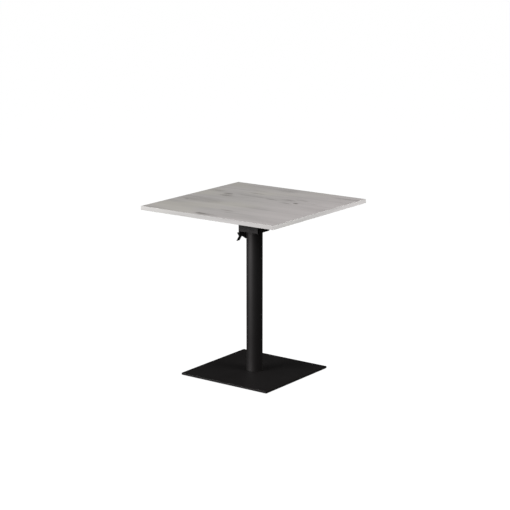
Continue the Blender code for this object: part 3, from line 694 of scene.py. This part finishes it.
def plain_mesh(carrier, name):
    """What an object's modifiers make of it, as a mesh. The modifiers are then taken off."""
    depsgraph = bpy.context.evaluated_depsgraph_get()
    mesh = bpy.data.meshes.new_from_object(carrier.evaluated_get(depsgraph))
    mesh.name = name
    carrier.modifiers.clear()
    return mesh


def piece_of(name, mesh):
    """An object at the origin, with its round faces shaded smooth and its flat faces flat."""
    mesh.shade_smooth()
    mesh.set_sharp_from_angle(angle=SMOOTH_ANGLE)
    piece = bpy.data.objects.new(name, mesh)
    scene.collection.objects.link(piece)
    leading = piece.modifiers.new("large_faces_lead", "WEIGHTED_NORMAL")
    leading.weight = FLAT_FACE_WEIGHT
    leading.keep_sharp = True
    piece.data = plain_mesh(piece, name)
    bpy.data.meshes.remove(mesh)
    return piece


def stand_in(piece, *replaced, finish=None):
    """Gives a piece the finish, the body and the slot of the solids that it replaces."""
    slot = slot_of[replaced[0]]
    piece.data.materials.clear()
    piece.data.materials.append(finish or finishes[slot])
    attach(piece, body_of[replaced[0]])
    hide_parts(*replaced)
    return piece


def middle(node):
    low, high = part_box(node)
    return (low + high) / 2


def size(node):
    low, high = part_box(node)
    return high - low


print("pieces can stand in for solids")

# %% [markdown]
# ## Rounded sheet metal
# The solids have knife-sharp edges. Real sheet and plate are deburred, and the coat rounds them further,
# and it is that thin round edge that catches the light. A solid arrives as loose triangles, so its copy is
# first merged and its flat triangles joined to whole faces. Then the edges between faces that meet at a
# steep angle are bevelled. A Bevel modifier would do the same, but only after the same cleaning.

# %% Rounded copies of the steel parts
STEEP = math.radians(32)
FLAT = math.radians(0.4)
ROUND_STEPS = 3
CIRCULAR = 0.5

# Rounding in metres and the grade of the coat
ROUNDING = {
    "base_plate": (0.0010, "powder_coat"),
    "head_saddle": (0.0006, "powder_coat"),
    "mounting_plate": (0.0006, "powder_coat"),
    "strike_bracket": (0.0006, "powder_coat"),
    # The bracket's coat carries painted shade in its colour
    "latch_bracket": (0.0006, "matt_painted_shade_powder_coat"),
    # The lever's coat carries painted light in its colour
    "latch_lever": (0.0007, "painted_light_lever_powder_coat"),
}


def rounded_copy(node, radius):
    bm = bmesh.new()
    bm.from_mesh(nodes[node].data)
    bmesh.ops.remove_doubles(bm, verts=bm.verts, dist=MERGE_DISTANCE)
    bmesh.ops.dissolve_limit(bm, angle_limit=FLAT, verts=bm.verts, edges=bm.edges)
    steep = [edge for edge in bm.edges if len(edge.link_faces) == 2 and edge.calc_face_angle() > STEEP]
    arc = {"offset": radius, "segments": ROUND_STEPS, "profile": CIRCULAR, "clamp_overlap": True}
    bmesh.ops.bevel(bm, geom=steep, affect="EDGES", **arc)
    return piece_of(f"{node}_rounded", mesh_of(bm, f"{node}_rounded"))


for node_name, (edge_radius, grade) in ROUNDING.items():
    rounded = stand_in(rounded_copy(node_name, edge_radius), node_name, finish=coats[grade])
    print(f"{rounded.name}: {len(rounded.data.polygons)} faces")

# %% The worn upper face of the base plate
FACING_UP = 0.9
base_plate = bpy.data.objects["base_plate_rounded"]
base_plate.data.materials.append(coats["scuffed_powder_coat"])
upward = [face for face in base_plate.data.polygons if face.normal.z > FACING_UP]
for face in upward:
    face.material_index = 1
print(f"{len(upward)} faces of the base plate are scuffed")

# %% [markdown]
# ## Turned pieces
# The tube, studs, pins, bushes, washers and buffers are round, and on the real table they come off a lathe,
# a press or a tube mill. A profile of radius and height, swept round an axis, makes each of them. The
# solids have 24 or 48 sides, which is enough to weigh them and to test what they touch. Here 96 sides give
# a smooth outline, and small chamfers and grooves give the edges that the solids leave out.

# %% Turned pieces
TURN_SIDES = 96
UPRIGHT = Matrix.Identity(4)
ALONG_Y = Matrix.Rotation(-math.pi / 2, 4, "X")
AGAINST_Y = Matrix.Rotation(math.pi / 2, 4, "X")
EDGE_BREAK = 0.0004


def turned_mesh(name, profile, bored, gap=0.0):
    """Sweeps (radius, height) points round Z. A bored piece closes on its first ring, others on two faces.

    A gap in radians leaves a bored piece open, as a retaining ring is.
    """
    bm = bmesh.new()
    rings = []
    steps = TURN_SIDES + 1 if gap else TURN_SIDES
    for radius, height in profile:
        ring = []
        for step in range(steps):
            angle = gap / 2 + (math.tau - gap) * step / TURN_SIDES
            ring.append(bm.verts.new((radius * math.cos(angle), radius * math.sin(angle), height)))
        rings.append(ring)
    if gap:
        bm.faces.new([ring[0] for ring in rings])
        bm.faces.new([ring[-1] for ring in rings])
    if bored:
        rings.append(rings[0])
    else:
        bm.faces.new(rings[0])
        bm.faces.new(rings[-1])
    for lower, upper in zip(rings, rings[1:]):
        for step in range(TURN_SIDES):
            after = (step + 1) % steps
            bm.faces.new((lower[step], lower[after], upper[after], upper[step]))
    bmesh.ops.recalc_face_normals(bm, faces=bm.faces)
    return mesh_of(bm, name)


def chamfered(radius, low, high, chamfer):
    """The outer side of a round bar with both ends chamfered."""
    lower = [(radius - chamfer, low), (radius, low + chamfer)]
    return lower + [(radius, high - chamfer), (radius - chamfer, high)]


def place_turned(node, mesh, turn):
    """Turns a round mesh about its own middle, moves it to the middle of a solid's box and stands it in."""
    mesh.transform(Matrix.Translation(middle(node)) @ turn)
    return stand_in(piece_of(f"{node}_turned", mesh), node)


def bar_mesh(node, radius, length):
    return turned_mesh(f"{node}_turned", chamfered(radius, -length / 2, length / 2, EDGE_BREAK), False)


def ring_mesh(node, outer, inner, height, gap=0.0):
    half = height / 2
    inside = [(inner + EDGE_BREAK / 2, half), (inner, half - EDGE_BREAK / 2)]
    inside += [(inner, EDGE_BREAK / 2 - half), (inner + EDGE_BREAK / 2, -half)]
    outside = chamfered(outer, -half, half, EDGE_BREAK / 2)
    return turned_mesh(f"{node}_turned", outside + inside, True, gap)


TUBE_WALL = 0.002
tube = size("column_tube")
tube_mesh = ring_mesh("column_tube", tube.x / 2, tube.x / 2 - TUBE_WALL, tube.z)
place_turned("column_tube", tube_mesh, UPRIGHT)

SHAFT_RADIUS = size("hinge_stud_left").x / 2
SHAFT_PLAY = 0.0002
for side in ("left", "right"):
    for node in (f"hinge_stud_{side}", f"stop_stud_{side}"):
        place_turned(node, bar_mesh(node, size(node).x / 2, size(node).y), ALONG_Y)
    node = f"hinge_washer_{side}"
    washer = ring_mesh(node, size(node).x / 2, SHAFT_RADIUS + SHAFT_PLAY, size(node).y)
    place_turned(node, washer, ALONG_Y)
print("turned: tube, studs and washers")

# %% [markdown]
# ## Bushes, buffers, pin and rings
# The ears of the mounting plate turn on flanged nylon bushes. Two rubber buffers with a domed crown take
# the weight of the top. The lever's pin has a head at one end and a retaining ring at the other. Such a
# ring is open, so that it can be pushed into its groove from the side, and its open side points at a
# different angle on every shaft. All of them are turned, and the rings only stop short of the full circle.

# %% Bushes, buffers, the lever's pin and the rings
BUSH_FLANGE = 0.0012
BUSH_SLEEVE = 0.0065
DOME_SHARE = 0.55
DOME_POINTS = 9


def bush_mesh(node):
    half = size(node).y / 2
    shoulder = BUSH_FLANGE - half
    flange = chamfered(size(node).x / 2, -half, shoulder, EDGE_BREAK / 2)
    sleeve = [(BUSH_SLEEVE, shoulder), (BUSH_SLEEVE, half - EDGE_BREAK), (BUSH_SLEEVE - EDGE_BREAK, half)]
    hole = [(SHAFT_RADIUS + SHAFT_PLAY, half), (SHAFT_RADIUS + SHAFT_PLAY, -half)]
    return turned_mesh(f"{node}_turned", flange + sleeve + hole, True)


def buffer_mesh(node):
    rim = size(node).x / 2
    half = size(node).z / 2
    dome = 2 * half * DOME_SHARE
    profile = [(rim - EDGE_BREAK, -half), (rim, EDGE_BREAK - half)]
    for step in range(DOME_POINTS):
        angle = math.pi / 2 * step / (DOME_POINTS - 1)
        radius = rim * (1 - DOME_SHARE + DOME_SHARE * math.cos(angle))
        profile.append((radius, half - dome + dome * math.sin(angle)))
    return turned_mesh(f"{node}_turned", profile, False)


for side, turn in (("left", AGAINST_Y), ("right", ALONG_Y)):
    place_turned(f"hinge_bush_{side}", bush_mesh(f"hinge_bush_{side}"), turn)
    place_turned(f"rest_buffer_{side}", buffer_mesh(f"rest_buffer_{side}"), UPRIGHT)

PIN_RADIUS = 0.004
PIN_HEAD = 0.0025
pin = size("latch_pin")
pin_profile = chamfered(pin.x / 2, -pin.y / 2, PIN_HEAD - pin.y / 2, EDGE_BREAK)
pin_profile += [(PIN_RADIUS, PIN_HEAD - pin.y / 2), (PIN_RADIUS, pin.y / 2 - EDGE_BREAK)]
pin_profile.append((PIN_RADIUS - EDGE_BREAK, pin.y / 2))
head_side = ALONG_Y if middle("latch_pin").y < middle("latch_clip").y else AGAINST_Y
place_turned("latch_pin", turned_mesh("latch_pin_turned", pin_profile, False), head_side)

RING_GAP = math.radians(70)
RING_TURNS = {"hinge_clip_left": 40.0, "hinge_clip_right": 155.0, "latch_clip": 265.0}
for node, degrees in RING_TURNS.items():
    inner = (PIN_RADIUS if node == "latch_clip" else SHAFT_RADIUS) + SHAFT_PLAY
    clip = ring_mesh(node, size(node).x / 2, inner, size(node).y, RING_GAP)
    place_turned(node, clip, ALONG_Y @ Matrix.Rotation(math.radians(degrees), 4, "Z"))
print("turned: bushes, buffers, the lever's pin and three retaining rings")

# %% [markdown]
# ## Geometry Nodes for what repeats
# A node tree that builds geometry has its sizes as named inputs on the modifier, so one tree serves screws
# of every size. The helper below makes a tree, adds an input with a name and a value, and at the end turns
# the result into a plain mesh. A modifier stores an input under the socket's identifier, not under its
# name, so the helper remembers the identifiers.

# %% A board for geometry


class GeometryBoard(Board):
    """A geometry tree with named sizes."""

    def __init__(self, name):
        tree = bpy.data.node_groups.new(name, "GeometryNodeTree")
        super().__init__(tree)
        tree.interface.new_socket("Geometry", in_out="INPUT", socket_type="NodeSocketGeometry")
        tree.interface.new_socket("Geometry", in_out="OUTPUT", socket_type="NodeSocketGeometry")
        self.entry = tree.nodes.new("NodeGroupInput")
        self.exit = tree.nodes.new("NodeGroupOutput")
        self.identifiers = {}

    def size(self, name, kind="NodeSocketFloat"):
        """A named input of the tree, as a wire."""
        item = self.tree.interface.new_socket(name, in_out="INPUT", socket_type=kind)
        self.identifiers[name] = item.identifier
        return Wire(self, self.entry.outputs[name])

    def place(self):
        """The x, y and z of every point of a shape."""
        return self.node("GeometryNodeInputPosition", {}, {}).parts()

    def points(self):
        return Wire(self, self.entry.outputs["Geometry"])

    def finish_with(self, geometry, material):
        """Every tree ends by making its instances real and giving them their finish."""
        real = self.node("GeometryNodeRealizeInstances", {}, {"Geometry": geometry})
        painted = self.node("GeometryNodeSetMaterial", {}, {"Geometry": real, "Material": material})
        self.tree.links.new(painted.socket, self.exit.inputs["Geometry"])

    def join(self, *geometries):
        made = self.node("GeometryNodeJoinGeometry", {}, {})
        for geometry in geometries:
            self.tree.links.new(geometry.socket, made.socket.node.inputs["Geometry"])
        return made

    def move(self, geometry, selection, offset):
        values = {"Geometry": geometry, "Selection": selection, "Offset": offset}
        return self.node("GeometryNodeSetPosition", {}, values)

    def weld(self, geometry):
        values = {"Geometry": geometry, "Distance": MERGE_DISTANCE}
        return self.node("GeometryNodeMergeByDistance", {}, values)


def mesh_from(board, name, sizes, places=((0.0, 0.0, 0.0),)):
    """Runs a tree on an object with a point at each place, and gives back the plain mesh."""
    mesh = bpy.data.meshes.new(f"{name}_points")
    mesh.from_pydata(places, [], [])
    carrier = bpy.data.objects.new(f"{name}_carrier", mesh)
    scene.collection.objects.link(carrier)
    modifier = carrier.modifiers.new("nodes", "NODES")
    modifier.node_group = board.tree
    for label, value in sizes.items():
        modifier[board.identifiers[label]] = value
    made = plain_mesh(carrier, name)
    bpy.data.objects.remove(carrier)
    bpy.data.meshes.remove(mesh)
    return made


print("geometry trees are ready")

# %% [markdown]
# ## Screws and rivets
# The heads under the table are button heads, pan heads, countersunk heads and rivets. All of them are
# turned shapes, most with a hexagon socket. In the tree, a filled circle is extruded once for each ring of
# the profile: the new face is scaled to the ring's radius and lifted to its height. For the socket, the
# points of the ring are pushed out to a hexagon. Each screw then gets its own turn about its axis from a
# seeded random value, because no fitter lines the sockets up.

# %% The fastener tree
FASTENER_SIDES = 48
HEXAGON_SECTOR = math.tau / 6
FASTENER_SEED = 7
DOME_STEPS = 5

# Shares of the shaft's radius, then of the head's radius or height, then of the socket's width or depth
TIP_RADIUS = 0.85
TIP_LENGTH = 0.3
RIM_HEIGHT = 0.06
FLUSH_RIM = 0.98
DOMED_RIM = 0.96
DOME_FLAT = 0.58
DOME_START = 0.3
RIVET_NIB = (0.05, 1.04)
SOCKET_RIM = 1.2
SOCKET_CHAMFER = 0.12


def turn_by_nodes(board, rings, sides=FASTENER_SIDES):
    """Rings are (radius, height) or (radius, height, True) for a hexagon of that inner radius."""
    radius, height = rings[0]
    circle = {"Vertices": sides, "Radius": radius}
    start = board.node("GeometryNodeMeshCircle", {"fill_type": "NGON"}, circle)
    start = board.move(start, True, board.vector(0.0, 0.0, height))
    floor_face = board.node("GeometryNodeFlipFaces", {}, {"Mesh": start})
    mesh = start
    for before, ring in zip(rings, rings[1:]):
        step = {"Mesh": mesh, "Offset Scale": 0.0, "Individual": False}
        if before is not rings[0]:
            step["Selection"] = top
        mesh = board.node("GeometryNodeExtrudeMesh", {"mode": "FACES"}, step)
        top = mesh.other("Top")
        if len(ring) == len(before):
            shrink = {"Geometry": mesh, "Selection": top, "Scale": ring[0] / before[0]}
            mesh = board.node("GeometryNodeScaleElements", {"domain": "FACE"}, shrink)
        elif len(ring) > len(before):
            mesh = to_hexagon(board, mesh, top, ring[0] / before[0])
        mesh = board.move(mesh, top, board.vector(0.0, 0.0, ring[1] - before[1]))
    return board.weld(board.join(mesh, floor_face))


def to_hexagon(board, mesh, top, ratio):
    """Scales a ring's radius and pushes its points out to the corners of a hexagon."""
    x, y, z = board.place()
    angle = x.math("ARCTAN2", y, x)
    within = angle % HEXAGON_SECTOR - HEXAGON_SECTOR / 2
    reach = ratio / within.math("COSINE", within)
    values = {"Geometry": mesh, "Selection": top, "Position": board.vector(x * reach, y * reach, z)}
    return board.node("GeometryNodeSetPosition", {}, values)


def fastener_tree(name, form, facing_down):
    """One tree for each form of head. Its shaft hangs below z = 0, the plane that the head rests on."""
    board = GeometryBoard(name)
    shaft = board.size("Shaft Diameter") / 2
    head = board.size("Head Diameter") / 2
    height = board.size("Head Height")
    length = board.size("Length")
    rings = [(shaft * TIP_RADIUS, length * -1.0), (shaft, shaft * TIP_LENGTH - length)]
    if form == "countersunk":
        crown = 0.0
        rings += [(shaft, height * -1.0), (head * FLUSH_RIM, height * -RIM_HEIGHT), (head, crown)]
    else:
        crown = height
        rings += [(shaft, 0.0), (head * DOMED_RIM, 0.0), (head, height * RIM_HEIGHT)]
        for step in range(DOME_STEPS):
            angle = math.pi / 2 * (step + 1) / DOME_STEPS
            out = DOME_FLAT + (1 - DOME_FLAT) * math.cos(angle)
            up = DOME_START + (1 - DOME_START) * math.sin(angle)
            rings.append((head * out, height * up))
    if form == "rivet":
        out, up = RIVET_NIB
        rings.append((head * out, height * up))
    else:
        flats = board.size("Socket Width") / 2
        depth = board.size("Socket Depth")
        rings.append((flats * SOCKET_RIM, crown))
        rings.append((flats, crown + depth * -SOCKET_CHAMFER, True))
        rings.append((flats, crown - depth, True))
    shape = turn_by_nodes(board, rings)
    # Inputs 2 and 3 are the lowest and the highest number, and output 1 is the number drawn
    spin = {2: 0.0, 3: math.tau, "Seed": FASTENER_SEED}
    angle = board.node("FunctionNodeRandomValue", {"data_type": "FLOAT"}, spin, 1)
    turn = board.vector(math.pi if facing_down else 0.0, 0.0, angle)
    turn = board.node("FunctionNodeEulerToRotation", {}, {"Euler": turn})
    values = {"Points": board.points(), "Instance": shape, "Rotation": turn}
    board.finish_with(board.node("GeometryNodeInstanceOnPoints", {}, values), finishes["zinc_steel"])
    return board


print(f"fastener tree with {FASTENER_SIDES} sides")

# %% Screws and rivets in place
SIZE_NAMES = ("Shaft Diameter", "Head Diameter", "Head Height", "Socket Width", "Socket Depth")

# The sizes in that order, in metres. A rivet has no socket
FASTENER_SIZES = {
    "saddle_screws": (0.006, 0.0105, 0.0033, 0.004, 0.0018),
    "top_screws": (0.0045, 0.009, 0.0028, 0.003, 0.0015),
    "base_screws": (0.008, 0.016, 0.004, 0.005, 0.0028),
    "strike_rivets": (0.004, 0.0075, 0.0016),
}

# Start of the solids' names, name of the tree, form of the head, and whether it faces down
FASTENER_FORMS = {
    "saddle_screws": ("saddle_screw_", "button_head_screw", "domed", False),
    "top_screws": ("top_screw_", "pan_head_screw", "domed", True),
    "base_screws": ("base_screw_", "countersunk_screw", "countersunk", True),
    "strike_rivets": ("strike_rivet_", "rivet", "rivet", True),
}


def add_fasteners(name, group, tree_name, form, facing_down):
    """Makes one mesh of a group of screws or rivets, each at the place of its solid."""
    sizes = dict(zip(SIZE_NAMES, FASTENER_SIZES[name]))
    above_seat = 0.0 if form == "countersunk" else sizes["Head Height"]
    members = sorted(node for node in nodes if node.startswith(group))
    places = []
    for node in members:
        low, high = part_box(node)
        seat = low.z + above_seat if facing_down else high.z - above_seat
        places.append((middle(node).x, middle(node).y, seat))
    sizes["Length"] = size(members[0]).z - above_seat
    board = fastener_tree(tree_name, form, facing_down)
    made = stand_in(piece_of(name, mesh_from(board, name, sizes, places)), *members)
    print(f"{name}: {len(members)} pieces, {len(made.data.polygons)} faces")


for group_name, group_form in FASTENER_FORMS.items():
    add_fasteners(group_name, *group_form)

# %% [markdown]
# ## The spring and the threads
# The lever's spring and the threads of the levelling glides are both helices, so one tree makes them: a
# Spiral curve, swept with a round wire. A compression spring is wound tighter at its ends so that it stands
# square, which a sine added to the height does.

# %% Helix tree
WIRE_SIDES = 12
TURN_POINTS = 28


def helix_tree(name, material):
    board = GeometryBoard(name)
    turns = board.size("Turns")
    radius = board.size("Middle Radius")
    height = board.size("Height")
    wire = board.size("Wire Diameter")
    closing = board.size("End Closing")
    spiral = {"Resolution": TURN_POINTS, "Rotations": turns, "Height": height}
    spiral.update({"Start Radius": radius, "End Radius": radius})
    curve = board.node("GeometryNodeCurveSpiral", {}, spiral)
    _, _, z = board.place()
    share = z / height * math.tau
    eased = z - height * closing * share.math("SINE", share) / math.tau
    curve = board.move(curve, True, board.vector(0.0, 0.0, eased - z))
    circle = {"Resolution": WIRE_SIDES, "Radius": wire / 2}
    circle = board.node("GeometryNodeCurvePrimitiveCircle", {}, circle)
    swept = {"Curve": curve, "Profile Curve": circle, "Fill Caps": True}
    board.finish_with(board.node("GeometryNodeCurveToMesh", {}, swept), material)
    return board


helix = helix_tree("helix", finishes["zinc_steel"])
print("one helix tree for the spring and the threads")

# %% Latch spring
SPRING_WIRE = 0.0012
SPRING_TURNS = 7.0
SPRING_CLOSING = 0.72
spring_low, spring_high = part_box("latch_spring")
spring_sizes = {
    "Turns": SPRING_TURNS,
    "Middle Radius": (spring_high.y - spring_low.y - SPRING_WIRE) / 2,
    "Height": spring_high.x - spring_low.x - SPRING_WIRE,
    "Wire Diameter": SPRING_WIRE,
    "End Closing": SPRING_CLOSING,
}
spring_mesh = mesh_from(helix, "latch_spring_coil", spring_sizes)
spring_seat = Vector((spring_high.x - SPRING_WIRE / 2, 0.0, middle("latch_spring").z))
spring_mesh.transform(Matrix.Translation(spring_seat) @ Matrix.Rotation(-math.pi / 2, 4, "Y"))
spring = stand_in(piece_of("latch_spring_coil", spring_mesh), "latch_spring")
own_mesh(spring)
print(f"{spring.name}: {SPRING_TURNS:.0f} turns, {len(spring.data.polygons)} faces")

# %% [markdown]
# ## Levelling glides
# Four glides stand under the base plate: a nylon pad with a fluted rim, to be turned by hand, on a threaded
# stud. The flutes need no modelling of their own. In the tree, the pad is a turned shape with many sides,
# and a cosine of the angle moves the points of its rim in and out. The stud is a plain core with the helix
# round it.

# %% Pads and studs of the glides
PAD_SIDES = 144
FLUTES = 24
PAD_CHAMFER = 0.0012
PAD_RIM = 0.0018
PAD_SIZES = {
    "Diameter": 0.030,
    "Height": 0.0057,
    "Flute Depth": 0.0007,
    "Hole Diameter": 0.0084,
    "Hole Depth": 0.003,
}
THREAD_PITCH = 0.00125
THREAD_WIRE = 0.0011
THREAD_HEIGHT = 0.00066


def glide_tree(name, material):
    board = GeometryBoard(name)
    radius = board.size("Diameter") / 2
    height = board.size("Height")
    hole = board.size("Hole Diameter") / 2
    depth = board.size("Hole Depth")
    flute = board.size("Flute Depth")
    low = height * -0.5
    high = height * 0.5
    rings = [
        (radius - PAD_CHAMFER, low),
        (radius, low + PAD_CHAMFER),
        (radius, high - EDGE_BREAK),
        (radius - EDGE_BREAK, high),
        (hole, high),
        (hole, high - depth),
    ]
    pad = turn_by_nodes(board, rings, PAD_SIDES)
    x, y, _ = board.place()
    angle = x.math("ARCTAN2", y, x) * FLUTES
    reach = x.math("SQRT", x * x + y * y)
    outside = reach > radius - PAD_RIM
    inward = (angle.math("COSINE", angle) - 1.0) * flute * 0.5 / reach
    pad = board.move(pad, outside, board.vector(x * inward, y * inward, 0.0))
    board.finish_with(pad, material)
    return board


def threaded_stud(node):
    """A core and a thread round it, as one mesh about the stud's middle."""
    radius = size(node).x / 2
    length = size(node).z
    sizes = {
        "Turns": (length - 2 * THREAD_PITCH) / THREAD_PITCH,
        "Middle Radius": radius - THREAD_WIRE / 2,
        "Height": length - 2 * THREAD_PITCH,
        "Wire Diameter": THREAD_WIRE,
        "End Closing": 0.0,
    }
    thread = mesh_from(helix, f"{node}_thread", sizes)
    thread.transform(Matrix.Translation((0.0, 0.0, THREAD_PITCH - length / 2)))
    core = bar_mesh(node, radius - THREAD_HEIGHT, length)
    bm = bmesh.new()
    bm.from_mesh(core)
    bm.from_mesh(thread)
    bm.to_mesh(core)
    bm.free()
    return core


glide = glide_tree("glide_pad", finishes["black_plastic"])
for number in range(1, 5):
    pad = mesh_from(glide, f"foot_pad_{number}_fluted", PAD_SIZES)
    place_turned(f"foot_pad_{number}", pad, UPRIGHT)
    place_turned(f"foot_stud_{number}", threaded_stud(f"foot_stud_{number}"), UPRIGHT)
print(f"4 glides with {FLUTES} flutes and a thread of {THREAD_PITCH * 1000:.2f} mm")

# %% [markdown]
# ## Edging strips
# The four sides of the top have a 2 mm plastic edging, ironed on and trimmed with a cutter that rounds its
# outer corners. A strip follows a straight path, so it is a profile and a length: a quadrilateral whose two
# outer corners are filleted, filled and drawn out along Z. The Fillet node takes a different radius for
# each corner, and here the radius depends on the corner's place.

# %% Edging strips
EDGING_ROUNDING = 0.0008
EDGING_STEPS = 5


def edging_tree(name):
    board = GeometryBoard(name)
    thickness = board.size("Thickness")
    height = board.size("Height")
    length = board.size("Length")
    rounding = board.size("Rounding")
    finish = board.size("Finish", "NodeSocketMaterial")
    sides = {"Width": thickness, "Height": height}
    outline = board.node("GeometryNodeCurvePrimitiveQuadrilateral", {}, sides)
    x, _, _ = board.place()
    arc = {"Curve": outline, "Radius": (x > 0.0) * rounding, "Count": EDGING_STEPS, "Limit Radius": True}
    outline = board.node("GeometryNodeFilletCurve", {"mode": "POLY"}, arc)
    face = board.node("GeometryNodeFillCurve", {"mode": "NGONS"}, {"Curve": outline})
    start = board.move(face, True, board.vector(0.0, 0.0, length * -0.5))
    along = board.vector(0.0, 0.0, 1.0)
    stretch = {"Mesh": start, "Offset": along, "Offset Scale": length, "Individual": False}
    strip = board.node("GeometryNodeExtrudeMesh", {"mode": "FACES"}, stretch)
    back = board.node("GeometryNodeFlipFaces", {}, {"Mesh": start})
    board.finish_with(board.weld(board.join(strip, back)), finish)
    return board


# The strip's outer side, and the finish whose grain runs along it
SIDES = {
    "edge_band_front": (Vector((0.0, -1.0, 0.0)), edging_along_x),
    "edge_band_back": (Vector((0.0, 1.0, 0.0)), edging_along_x),
    "edge_band_left": (Vector((-1.0, 0.0, 0.0)), edging_along_y),
    "edge_band_right": (Vector((1.0, 0.0, 0.0)), edging_along_y),
}
edging = edging_tree("edging_strip")
UP = Vector((0.0, 0.0, 1.0))
for node, (outer, finish) in SIDES.items():
    span = size(node)
    path = outer.cross(UP)
    strip_sizes = {
        "Thickness": abs(span.dot(outer)),
        "Height": span.z,
        "Length": abs(span.dot(path)),
        "Rounding": EDGING_ROUNDING,
        "Finish": finish,
    }
    strip = mesh_from(edging, f"{node}_rounded", strip_sizes)
    strip.transform(Matrix.Translation(middle(node)) @ Matrix((outer, UP, path)).transposed().to_4x4())
    stand_in(piece_of(f"{node}_rounded", strip), node, finish=finish)
print(f"{len(SIDES)} strips with corners of {EDGING_ROUNDING * 1000:.1f} mm")

# %% [markdown]
# ## The solids that stay
# The core of the top, its two sheets and the discs inside the column already have their final shape, so
# they only get their finish.

# %% The rest of the solids
bare = [node for node in nodes if not nodes[node].hide_render]
for node in bare:
    mesh = nodes[node].data
    mesh.materials.clear()
    mesh.materials.append(finishes[slot_of[node]])
print(f"{len(bare)} solids keep their shape: {', '.join(bare)}")
